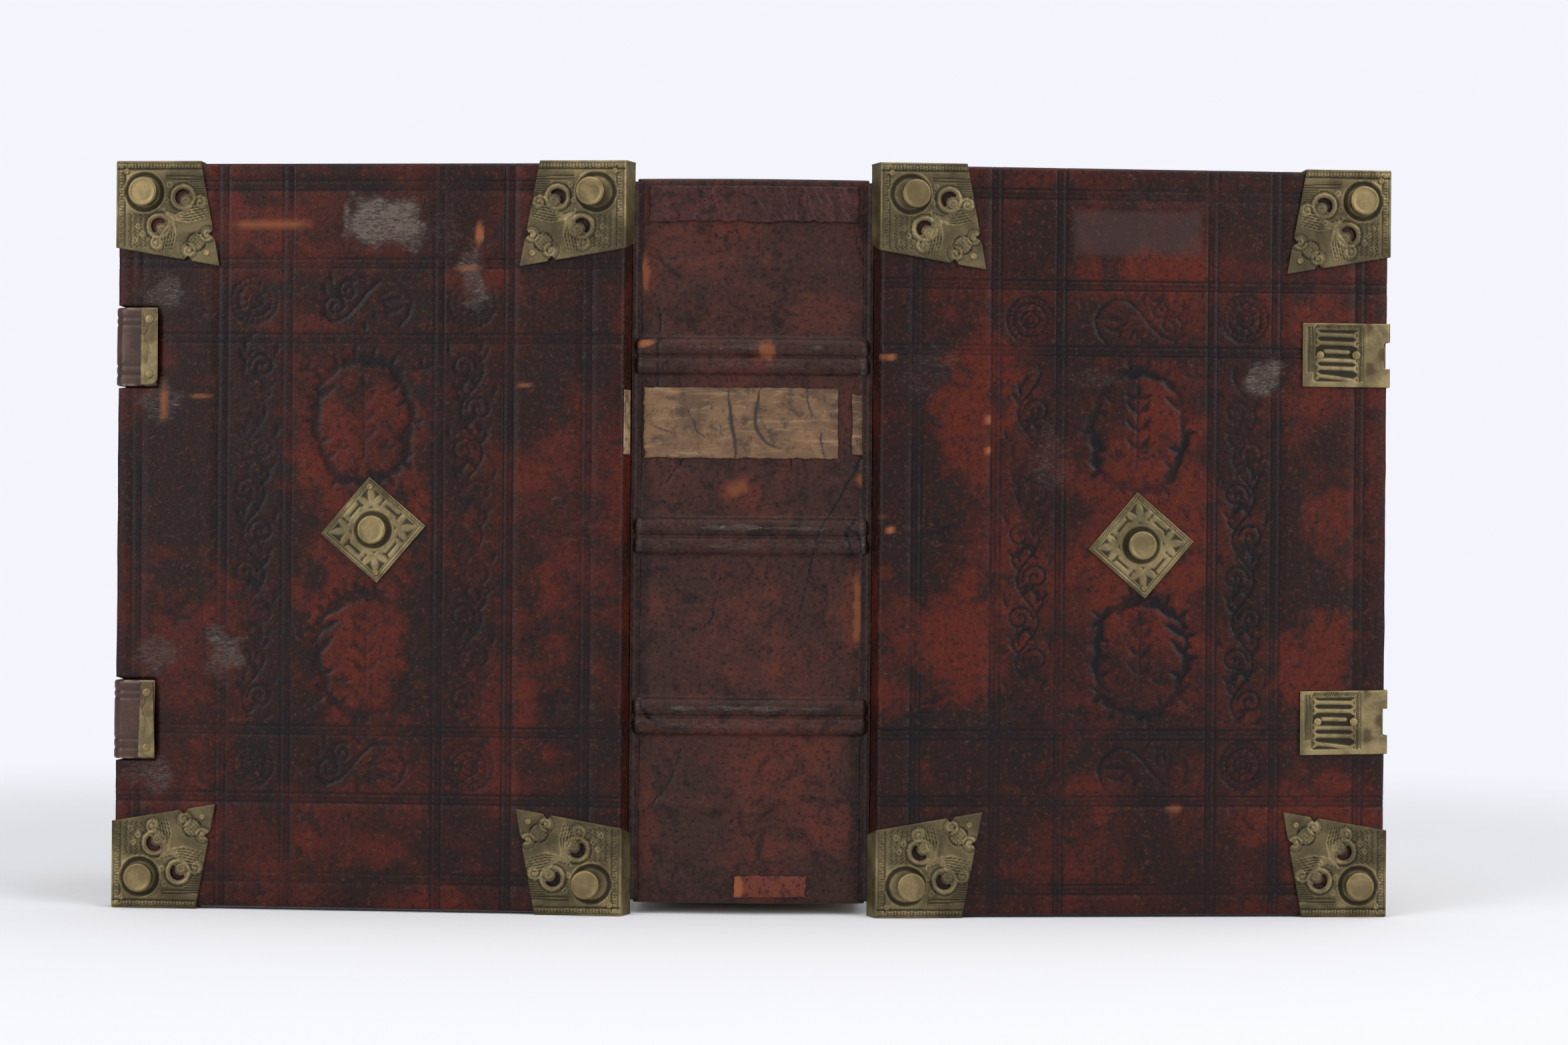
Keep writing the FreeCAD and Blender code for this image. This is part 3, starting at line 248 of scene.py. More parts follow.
# ---------------------------------------------------------------------------------------------
# Leather of the two covers: brown calf drawn over wooden boards and tooled blind. Fillets cross
# in a grid, with rosettes, scrolls, vine rolls and leafy ovals pressed between them.
BOOK_HIGH = 245.0
HINGE_X, HINGE_Y = 38.45, -76.875
LEAN = math.radians(4.5)
SPINE_FACE, FORE_FACE = 2.14, 170.6
BOARD_THICK, BRASS_THICK = 8.0, 0.8
BOARD_NEAR, BOARD_FAR = 0.3, 169.8
BOARD_FOOT, BOARD_HEAD = 0.8, 244.2
BEVEL = 2.4
SIDES = {"front": 1, "back": -1}


def on_cover(cover, u, v, z):
    """Points of the frame from a distance along the board, a height and a rise off its inside."""
    c, s = math.cos(LEAN), math.sin(LEAN)
    u, v, z = np.broadcast_arrays(u, v, z)
    x = SIDES[cover] * (HINGE_X + u * c + z * s)
    return np.stack([x, HINGE_Y + u * s - z * c, v], axis=-1).astype(float)


def piece(name, points, faces, material, fields=None):
    """A mesh object from points in millimetres and arrays of triangles and quads."""
    mesh = bpy.data.meshes.new(name)
    points = np.asarray(points, float).reshape(-1, 3)
    faces = [np.asarray(group, int) for group in faces if len(group)]
    mesh.vertices.add(len(points))
    mesh.vertices.foreach_set("co", (points * MM).astype(np.float32).ravel())
    corners = np.concatenate([group.ravel() for group in faces])
    totals = np.concatenate([np.full(len(group), group.shape[1]) for group in faces])
    mesh.loops.add(len(corners))
    mesh.loops.foreach_set("vertex_index", corners.astype(np.int32))
    mesh.polygons.add(len(totals))
    mesh.polygons.foreach_set("loop_start", (np.cumsum(totals) - totals).astype(np.int32))
    mesh.update(calc_edges=True)
    for key, values in (fields or {}).items():
        layer = mesh.attributes.new(key, "FLOAT", "POINT")
        layer.data.foreach_set("value", np.asarray(values, np.float32).ravel())
    mesh.validate()
    mesh.shade_smooth()
    mesh.materials.append(material)
    made = bpy.data.objects.new(name, mesh)
    bpy.context.scene.collection.objects.link(made)
    return made


def quads_of(rows, columns, wrap=False):
    """Quads over a grid of points, joined round where its rows are closed loops."""
    across = columns if wrap else columns - 1
    i, j = np.meshgrid(np.arange(rows - 1), np.arange(across), indexing="ij")
    after = (j + 1) % columns
    return np.stack(
        [i * columns + j, i * columns + after, (i + 1) * columns + after, (i + 1) * columns + j],
        axis=-1,
    ).reshape(-1, 4)


def border_of(rows, columns):
    """The points along the four edges of a grid, in one round."""
    return np.concatenate([
        np.arange(columns), np.arange(1, rows) * columns + columns - 1,
        (rows - 1) * columns + np.arange(columns - 2, -1, -1), np.arange(rows - 2, 0, -1) * columns,
    ])


def smooth_step(value, low, high):
    share = np.clip((value - low) / (high - low), 0, 1)
    return share * share * (3 - 2 * share)


def cloud(x, y, size, seed, octaves=4):
    """Soft noise from 0 to 1 with features of about one size."""
    dice = np.random.default_rng(seed)
    total, weight, most = 0.0, 1.0, 0.0
    for octave in range(octaves):
        net = dice.random((64, 64))
        fx = np.asarray(x) / size * 2**octave + dice.random() * 60
        fy = np.asarray(y) / size * 2**octave + dice.random() * 60
        ix, iy = np.floor(fx).astype(int), np.floor(fy).astype(int)
        tx, ty = smooth_step(fx - ix, 0, 1), smooth_step(fy - iy, 0, 1)
        a, b = net[ix % 64, iy % 64], net[(ix + 1) % 64, iy % 64]
        c, d = net[ix % 64, (iy + 1) % 64], net[(ix + 1) % 64, (iy + 1) % 64]
        total = total + weight * ((a * (1 - tx) + b * tx) * (1 - ty) + (c * (1 - tx) + d * tx) * ty)
        most += weight
        weight *= 0.55
    return total / most


class Press:
    """Marks pressed into, or raised on, a field of points, from 0 to 1."""

    def __init__(self, x, y):
        self.x, self.y = x, y
        self.depth = np.zeros(x.shape)

    def stroke(self, path, wide, deep=1.0, taper=False, hard=0.45):
        """A line of a tool along points, thinner at its ends where it tapers."""
        path = np.asarray(path, float)
        low, high = path.min(0) - wide, path.max(0) + wide
        near = (self.x > low[0]) & (self.x < high[0]) & (self.y > low[1]) & (self.y < high[1])
        if not near.any():
            return
        x, y = self.x[near], self.y[near]
        best = np.full(x.shape, 9.0)
        steps = len(path) - 1
        for index in range(steps):
            (x0, y0), (x1, y1) = path[index], path[index + 1]
            dx, dy = x1 - x0, y1 - y0
            share = np.clip(((x - x0) * dx + (y - y0) * dy) / (dx * dx + dy * dy + 1e-9), 0, 1)
            apart = np.hypot(x - x0 - share * dx, y - y0 - share * dy)
            width = wide
            if taper:
                way = (index + share) / steps
                width = wide * (0.25 + 0.75 * np.sin(math.pi * np.clip(way, 0.02, 0.98)))
            best = np.minimum(best, apart / width)
        mark = deep * (1 - smooth_step(best, hard, 1.0))
        self.depth[near] = np.maximum(self.depth[near], mark)

    def dot(self, x, y, radius, deep=1.0):
        self.stroke([(x, y), (x + 0.01, y)], radius, deep, hard=0.2)

    def ring(self, x, y, radius, wide, deep=1.0, start=0.0, stop=360.0):
        turns = np.radians(np.linspace(start, stop, max(6, int(abs(stop - start) / 12))))
        path = np.stack([x + radius * np.cos(turns), y + radius * np.sin(turns)], -1)
        self.stroke(path, wide, deep)

    def curl(self, x, y, radius, wide, turn, hand=1, deep=1.0, rounds=1.4):
        """A spiral that winds in from its outer end."""
        share = np.linspace(0, 1, 22)
        angle = math.radians(turn) + hand * share * rounds * 2 * math.pi
        reach = radius * (1 - 0.8 * share)
        path = np.stack([x + reach * np.cos(angle), y + reach * np.sin(angle)], -1)
        self.stroke(path, wide, deep)

    def leaf(self, x, y, long, turn, wide, bend=0.0, deep=1.0):
        """A pointed leaf or petal that starts at a point and may bend."""
        share = np.linspace(0, 1, 7)
        angle = math.radians(turn) + math.radians(bend) * share
        steps = np.stack([np.cos(angle), np.sin(angle)], -1) * long / 6
        path = np.array([x, y]) + np.vstack([[0, 0], np.cumsum(steps[:-1], 0)])
        self.stroke(path, wide, deep, taper=True)


def rosette(press, x, y, deep):
    press.ring(x, y, 7.7, 0.55, 0.8 * deep)
    for turn in np.arange(0, 360, 15):
        a = math.radians(turn)
        press.stroke(
            [(x + 6.0 * math.cos(a), y + 6.0 * math.sin(a)),
             (x + 7.1 * math.cos(a + 0.1), y + 7.1 * math.sin(a + 0.1))], 0.5, 0.75 * deep,
        )
    press.ring(x, y, 5.4, 0.5, deep)
    for turn in np.arange(0, 360, 36):
        a = math.radians(turn)
        press.dot(x + 4.1 * math.cos(a), y + 4.1 * math.sin(a), 0.95, 0.85 * deep)
    press.ring(x, y, 2.75, 0.5, deep)
    press.ring(x, y, 1.35, 0.42, 0.9 * deep)
    press.dot(x, y, 0.5, 0.9 * deep)


def scroll_panel(press, x, y, deep):
    """A leaf mask and a running scroll, about 30 mm by 15 mm, from its left end."""
    press.stroke([(x, y), (x + 2, y + 4), (x + 6, y + 7), (x + 11, y + 6.5)], 0.8, deep)
    press.stroke([(x, y), (x + 1.5, y - 5), (x + 4, y - 7.5)], 0.8, deep)
    press.leaf(x + 2, y + 0.5, 9, 8, 1.3, -30, 0.8 * deep)
    press.leaf(x + 3, y - 2, 7, -25, 1.1, 30, 0.8 * deep)
    press.leaf(x + 5, y + 4, 8, -10, 1.0, -50, 0.7 * deep)
    press.stroke(
        [(x + 11, y + 6.5), (x + 15, y + 3), (x + 18, y - 1), (x + 22, y - 5), (x + 26, y - 6.5),
         (x + 29.5, y - 4)], 0.8, deep,
    )
    press.curl(x + 25, y - 1.5, 4.2, 0.6, -60, 1, deep)
    press.curl(x + 21, y + 3.5, 3.6, 0.6, 120, -1, deep)
    for along, up, turn in ((14, 6, 30), (18, 6.5, 10), (28, 2, 60), (29, -1, 20), (26, 6, 60),
                            (13, -3, 230), (16, -6, 250), (10, -1, 200)):
        press.leaf(x + along, y + up, 4.2, turn, 0.9, 40, 0.85 * deep)
    for along, up in ((8, -5), (10, -6.5), (20, -7)):
        press.dot(x + along, y + up, 0.8, 0.7 * deep)


def vine(press, x, low, high, deep, hand=1):
    """A running vine with curled shoots, as a roll tool prints it again and again."""
    period = 27.0
    ys = np.arange(low + 1, high - 1, 0.9)
    sway = x + hand * 3.6 * np.sin((ys - low) * 2 * math.pi / period)
    press.stroke(np.stack([sway, ys], -1), 0.62, deep)
    start = low + period / 4
    count = 0
    while start < high - 5:
        out = hand * (1 if count % 2 == 0 else -1)
        press.curl(x - out * 2.6, start + 1.0, 4.4, 0.6, 90 - out * 90, out, deep)
        press.dot(x - out * 2.6, start + 1.0, 1.0, 0.7 * deep)
        for rise, turn in ((-6, 120), (-3, 150), (3, 30), (6, 60), (8, 100)):
            press.leaf(
                x + out * 2.5, start + rise, 5.0, 90 - out * (90 - turn) * 0.9, 1.0, out * 50,
                0.9 * deep,
            )
        press.leaf(x - out * 6.6, start + 5, 4.2, 90 + out * 40, 1.0, -out * 60, 0.85 * deep)
        press.leaf(x - out * 6.4, start - 4, 4.2, -90 + out * 30, 1.0, out * 60, 0.85 * deep)
        start += period / 2
        count += 1


def trefoil(press, x, y, turn, size, deep):
    for part in (-75, 0, 75):
        press.leaf(x, y, size, turn + part, size * 0.3, 0, deep)


def leafy_oval(press, x, y, half_wide, half_high, deep, seed):
    """Broad dark leaf stamps set round an oval, with a small plant inside it."""
    dice = np.random.default_rng(seed)
    for turn in np.arange(0, 360, 20):
        a = math.radians(turn)
        px = x + half_wide * math.cos(a) * (1 + 0.1 * abs(math.sin(2 * a)))
        py = y + half_high * math.sin(a)
        press.leaf(px, py, 7.0, turn + 95 + dice.uniform(-20, 20), 1.9, 30, deep)
        trefoil(press, px, py, turn + (0 if dice.random() < 0.6 else 180), 4.6, 0.95 * deep)
    press.stroke([(x, y - half_high * 0.6), (x, y + half_high * 0.5)], 0.55, 0.8 * deep)
    for rise in (-0.3, 0.0, 0.3):
        press.leaf(x, y + rise * half_high, 6.0, 35, 1.2, 35, 0.8 * deep)
        press.leaf(x, y + rise * half_high, 6.0, 145, 1.2, -35, 0.8 * deep)
    trefoil(press, x, y + half_high * 0.55, 90, 4.5, 0.85 * deep)
    for side in (-1, 1):
        trefoil(press, x + side * half_wide * 0.5, y - half_high * 0.45, 90, 3.2, 0.8 * deep)


# Each cover's fillets and stamps: across from the spine's face, and up from the tail.
TOOLING = {
    "front": dict(
        uprights=(12.5, 38.3, 59.5, 109.6, 130.6, 158.6),
        levels=(235.6, 206.0, 184.6, 59.5, 38.0, 9.2),
        fine_u=((40.6, 57.4), (62.0, 107.0), (111.4, 128.6)),
        fine_v=((42.0, 57.0), (61.0, 182.5), (186.5, 204.0)),
        rosettes=((49.2, 194.5), (120.1, 195.6), (50.5, 49.2), (120.4, 49.6)),
        scrolls=((70.5, 194.6), (72.5, 48.2)),
        vines=((49.0, 1), (120.0, -1)),
        vine_span=(62.5, 181.0),
        ovals=((85.0, 158.5, 14.5, 19.5), (86.0, 85.0, 14.5, 19.0)),
        flowers=((20.0, 126.0), (19.0, 71.0), (13.5, 66.5)),
        depth=1.0,
    ),
    "back": dict(
        uprights=(12.6, 38.1, 61.1, 111.1, 132.6, 161.1),
        levels=(237.0, 211.5, 187.0, 59.0, 37.0, 11.0),
        fine_u=((40.0, 58.6), (63.6, 108.6), (113.4, 130.4)),
        fine_v=((39.5, 57.0), (61.0, 185.0), (189.0, 209.5)),
        rosettes=((50.0, 198.5), (122.0, 199.5), (50.0, 47.6), (122.5, 47.6)),
        scrolls=((70.0, 199.0), (71.0, 48.0)),
        vines=((50.0, -1), (121.8, 1)),
        vine_span=(62.0, 184.0),
        ovals=((85.5, 160.0, 15.0, 20.0), (84.5, 84.0, 15.0, 20.0)),
        flowers=((20.0, 124.0), (22.0, 70.0), (147.0, 96.0)),
        depth=0.8,
    ),
}

# Wear on each cover: what it is, place from the spine's face and the tail, half sizes, strength.
WEAR = {
    "front": (
        ("grey", 128, 176, 9, 9, 0.9), ("grey", 56, 150, 9, 12, 0.55), ("grey", 15, 178, 12, 14, 0.5),
        ("grey", 34, 62, 14, 9, 0.35), ("grey", 52, 24, 18, 8, 0.3), ("grey", 8, 90, 9, 30, 0.35),
        ("grey", 70, 176, 12, 3, 0.5), ("grey", 98, 235, 40, 5, 0.45), ("grey", 139, 60, 6, 10, 0.4),
        ("dark", 25, 55, 30, 16, 0.6), ("dark", 84, 224, 26, 8, 0.45), ("dark", 10, 150, 14, 70, 0.5),
        ("dark", 140, 100, 10, 24, 0.35), ("dark", 86, 60, 40, 10, 0.3), ("dark", 30, 30, 30, 20, 0.3),
        ("warm", 145, 85, 16, 22, 0.8), ("warm", 148, 190, 12, 20, 0.6), ("warm", 30, 165, 14, 30, 0.6),
        ("warm", 30, 90, 16, 24, 0.7), ("warm", 86, 130, 26, 50, 0.55), ("warm", 84, 210, 30, 8, 0.5),
        ("warm", 140, 30, 26, 18, 0.45), ("warm", 150, 130, 12, 20, 0.5),
        ("chip", 35.5, 162, 1.1, 1.8, 1.0), ("chip", 36, 152, 0.9, 1.3, 1.0), ("chip", 3, 182, 1.6, 1.6, 1),
        ("chip", 0, 130, 1.8, 1.6, 1), ("chip", 4, 126, 1.8, 1.3, 1), ("chip", 98, 35, 3.2, 1.6, 0.6),
        ("label", 84.5, 223.5, 22.5, 7.5, 0.8),
    ),
    "back": (
        ("grey", 79, 226, 14, 12, 1.0), ("grey", 130, 85, 8, 12, 0.8), ("grey", 50, 205, 8, 11, 0.8),
        ("grey", 154, 200, 12, 9, 0.8), ("grey", 152, 168, 10, 9, 0.7), ("grey", 154, 82, 11, 9, 0.7),
        ("grey", 156, 45, 14, 8, 0.7), ("grey", 124, 155, 10, 14, 0.35), ("grey", 60, 222, 8, 9, 0.5),
        ("grey", 116, 224, 20, 7, 0.4), ("grey", 20, 150, 16, 60, 0.35), ("grey", 100, 12, 60, 6, 0.35),
        ("dark", 140, 150, 26, 50, 0.6), ("dark", 20, 200, 20, 40, 0.5), ("dark", 84, 200, 40, 10, 0.4),
        ("dark", 120, 100, 20, 60, 0.4), ("dark", 60, 120, 12, 60, 0.35), ("dark", 15, 60, 18, 50, 0.4),
        ("warm", 85, 150, 24, 30, 0.55), ("warm", 88, 90, 22, 30, 0.7), ("warm", 85, 30, 26, 16, 0.45),
        ("warm", 30, 80, 12, 30, 0.45), ("warm", 118, 225, 18, 9, 0.45), ("warm", 148, 225, 10, 8, 0.5),
        ("warm", 30, 190, 10, 20, 0.4), ("chip", 118, 224, 14, 1.2, 0.55), ("chip", 48, 221, 1.6, 4, 0.8),
        ("chip", 52, 210, 5, 1.2, 0.5), ("chip", 33, 172, 3, 1.0, 0.5), ("chip", 152, 166, 1.0, 7, 0.7),
        ("chip", 140, 168, 4, 1.0, 0.5),
    ),
}
def wear_marks(x, y, wear, seed, start=0.0, torn=1.0):
    """The share of each kind of wear at each point, with ragged edges."""
    marks = {key: np.zeros(x.shape) for key in ("grey", "dark", "warm", "chip", "label")}
    for kind, px, py, wide, high, strength in wear:
        grain = 3.0 if kind == "chip" else 7.0
        ragged = (cloud(x, y, grain, seed + int(px + py), 4) - 0.5) * 1.5
        across, up = (x - start - px) / wide, (y - py) / high
        reach, inner, outer = np.hypot(across, up), 0.45, 1.15
        if kind in ("chip", "label"):
            ragged = ragged * torn
        if kind == "label":
            reach, ragged = np.maximum(np.abs(across), np.abs(up)), ragged * 0.1
            inner, outer = 0.86, 1.0
        mark = strength * (1 - smooth_step(reach + ragged, inner, outer))
        marks[kind] = np.maximum(marks[kind], mark)
    return marks
# Colours on old calf beside its own two, one a painted sheen, and the fields that it is painted by.
SOOT, SPECK, PORE = (0.0118, 0.0066, 0.0062), (0.105, 0.036, 0.020), (0.006, 0.0042, 0.0042)
# The light grey-brown after RUBBED is partly the pale of rubbed calf and partly a painted sheen.
RUBBED, RUBBED_SHEEN, TOOLED = (0.062, 0.050, 0.044), (0.17, 0.13, 0.10), (0.0035, 0.0038, 0.0052)
LABEL_GHOST, BARE_SKIN = (0.062, 0.036, 0.033), (0.25, 0.082, 0.030)
SKIN_FIELDS = ("pressed", "grey", "dark", "warm", "chip", "label")


def calf(name, warm, dark, grain_scale=1500, creased=0.0):
    """Old calf: warm and dark patches, rubbed fibres, a painted sheen, dark tooling, chips of bare skin."""
    skin = Finish(name)
    at = skin.place()
    broad = skin.clouds(at, 26, 5, 0.62, 0.4)
    blots = skin.clouds(at, 120, 6, 0.65, 0.8)
    specks = skin.clouds(at, 700, 4, 0.7)
    fibres = skin.clouds(skin.stretch(at, 1, 1, 3.2), 420, 4, 0.7, 1.2)
    grey, tool = skin.field("grey"), skin.field("pressed")
    blacked = skin.field("dark")
    warmth = skin.between(broad + 0.32 * skin.field("warm") - 0.28 * blacked, 0.40, 0.72)
    colour = skin.mix(warmth, dark, warm)
    colour = skin.mix(skin.between(blots + 0.12 * blacked, 0.50, 0.66) * 0.75, colour, SOOT)
    colour = skin.mix(skin.between(specks, 0.54, 0.72) * 0.5, colour, SPECK)
    colour = skin.mix(0.75 - 0.75 * skin.between(specks, 0.34, 0.48), colour, PORE)
    worn = skin.between(fibres + 0.5 * grey, 0.72, 1.0)
    colour = skin.mix(worn * 0.8, colour, RUBBED)
    # Painted sheen, partly rubbed wear: the most rubbed, fibrous spots are lightened to a pale grey-brown.
    bright = skin.between(fibres + 0.3 * blots + 0.5 * grey, 1.1, 1.2)
    colour = skin.mix(bright * 0.5, colour, RUBBED_SHEEN)
    colour = skin.mix(tool * 0.95, colour, TOOLED)
    colour = skin.mix(skin.field("label") * 0.55, colour, LABEL_GHOST)
    colour = skin.mix(skin.field("chip"), colour, BARE_SKIN)
    grain = skin.cells(at, grain_scale, "SMOOTH_F1")
    height = 0.35 * grain + 0.5 * fibres * (0.4 + grey) + 0.5 * blots + 0.25 * specks
    if creased:
        height = height + creased * skin.clouds(skin.stretch(at, 0.5, 1, 2.6), 240, 4, 0.6, 0.8)
    rough = 0.30 + 0.24 * specks + 0.24 * worn - 0.08 * tool
    return skin.surface(
        colour, rough.clip(), normal=skin.bump(height, 0.00022, 0.8), Specular_IOR_Level=0.17
    )


leather = calf("cover_leather", (0.075, 0.0108, 0.0048), (0.0170, 0.0055, 0.0042))


def spaced(low, high, lines, fine, step, coarse):
    """Grid places from low to high: at each line's grooves, close in fine zones, wide elsewhere."""
    fixed = [low, high]
    for middle in lines:
        fixed += [middle + offset for offset in LINE_STEPS]
    fixed = sorted(value for value in set(fixed) if low <= value <= high)
    places = []
    for first, second in zip(fixed, fixed[1:]):
        zone = [start for pair in fine for start in pair if first < start < second]
        stops = [first, *zone, second]
        for begin, end in zip(stops, stops[1:]):
            inside = any(start <= (begin + end) / 2 <= stop for start, stop in fine)
            count = max(1, int(math.ceil((end - begin) / (step if inside else coarse))))
            places += list(np.linspace(begin, end, count, endpoint=False))
    return np.array(sorted(set(np.round(places + [high], 4))))


def heights(node):
    """The lowest and the highest point of a solid, in millimetres."""
    low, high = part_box(node)
    return low.z / MM, high.z / MM


def middle_height(node):
    return sum(heights(node)) / 2


# Grid places beside the middle of a fillet, and its three lines: offset, half width and share of
# the depth. Then the grid's steps, the round of the edges, and how far the leather is turned in.
LINE_STEPS = (-2.2, -1.45, -0.9, 0.0, 0.9, 1.45, 2.2)
FILLET = ((-1.45, 0.62, 1.0), (0.0, 0.54, 0.75), (1.45, 0.62, 1.0))
CLOSE_STEP, WIDE_STEP = 0.66, 2.2
ROLL = np.array((0.25, 0.5, 0.75, 1.0)) * math.pi / 2
EDGE_ROUND, WALL_ROWS = 1.3, 6
TURN_IN, SPINE_TURN_IN, LIP_DEEP, HIDDEN_MIDDLE = 14.0, 1.0, 3.0, (85.0, 122.5)
FIELD_LEAVES = ((66.5, 66.0), (104.0, 67.0), (66.5, 177.0), (104.0, 176.0))

# The back cover is cut down under each strap, and the front cover has a pocket for each hook.
SLOT_HALF = 4.5
BED_LONG, BED_DEEP, FORE_BED_DEEP, POCKET_DEEP = 13.5, 1.75, 1.7, 3.4
BEDS = [heights(f"{name}_strap_root") for name in ("lower", "upper")]
CATCH_MIDDLES = [middle_height(f"{name}_catch_plate") for name in ("upper", "lower")]
HOOK_POCKETS = [(middle - SLOT_HALF, middle + SLOT_HALF) for middle in CATCH_MIDDLES[::-1]]


def tooled(cover, grid_u, grid_v, uprights):
    """How deep each point is pressed: by the fillets, and by the stamps set between them."""
    plan = TOOLING[cover]
    deep = plan["depth"]
    press, stamps = Press(grid_u, grid_v), Press(grid_u, grid_v)
    (left, right), (foot, head) = grid_u[0, [0, -1]], grid_v[[0, -1], 0]
    for offset, wide, share in FILLET:
        for middle in uprights:
            press.stroke([(middle + offset, foot), (middle + offset, head)], wide, share)
        for middle in plan["levels"]:
            press.stroke([(left, middle + offset), (right, middle + offset)], wide, share)
    fade = smooth_step(cloud(grid_u, grid_v, 26, 11 + SIDES[cover], 3), 0.25, 0.62)
    press.depth *= 0.45 + 0.55 * fade
    for x, y in plan["rosettes"]:
        rosette(stamps, SPINE_FACE + x, y, deep)
    for x, y in plan["scrolls"]:
        scroll_panel(stamps, SPINE_FACE + x, y, deep)
    for x, hand in plan["vines"]:
        vine(stamps, SPINE_FACE + x, *plan["vine_span"], deep, hand)
    for index, (x, y, wide, high) in enumerate(plan["ovals"]):
        leafy_oval(stamps, SPINE_FACE + x, y, wide, high, deep, index + 3)
    for x, y in plan["flowers"]:
        for turn in (20, 110, 200, 290):
            stamps.leaf(SPINE_FACE + x, y, 4.6, turn, 1.3, 0, 0.9 * deep)
    for x, y in FIELD_LEAVES:
        trefoil(stamps, SPINE_FACE + x, y, 90, 3.6, 0.8 * deep)
    rubbed = smooth_step(cloud(grid_u, grid_v, 18, 21 + SIDES[cover], 3), 0.22, 0.6)
    stamps.depth *= 0.4 + 0.6 * rubbed
    return np.maximum(press.depth, stamps.depth)


def skin_height(cover, grid_u, grid_v, pressed, marks):
    """How far the leather stands over its board, or under, with its tools, swells and wear."""
    uneven = (cloud(grid_u, grid_v, 22, 31 + SIDES[cover], 4) - 0.5) * 0.5
    pocked = (cloud(grid_u, grid_v, 2.4, 37 + SIDES[cover], 3) - 0.5) * 0.16
    height = -0.42 * pressed + uneven * 0.5 - 0.1 + pocked * (0.35 + 1.2 * marks["grey"])
    height -= 0.22 * marks["chip"] + 0.12 * smooth_step(marks["grey"], 0.3, 0.6)
    # The leather swells where the cord ends are laced in under it.
    for name in ("lower", "middle", "upper"):
        low, high = heights(f"{name}_band_cords")
        for share in (0.28, 0.72):
            apart = (grid_v - low - (high - low) * share) / 1.7
            height += 0.45 * np.exp(-(apart**2)) * (1 - smooth_step(grid_u, 12, 26))
    return height


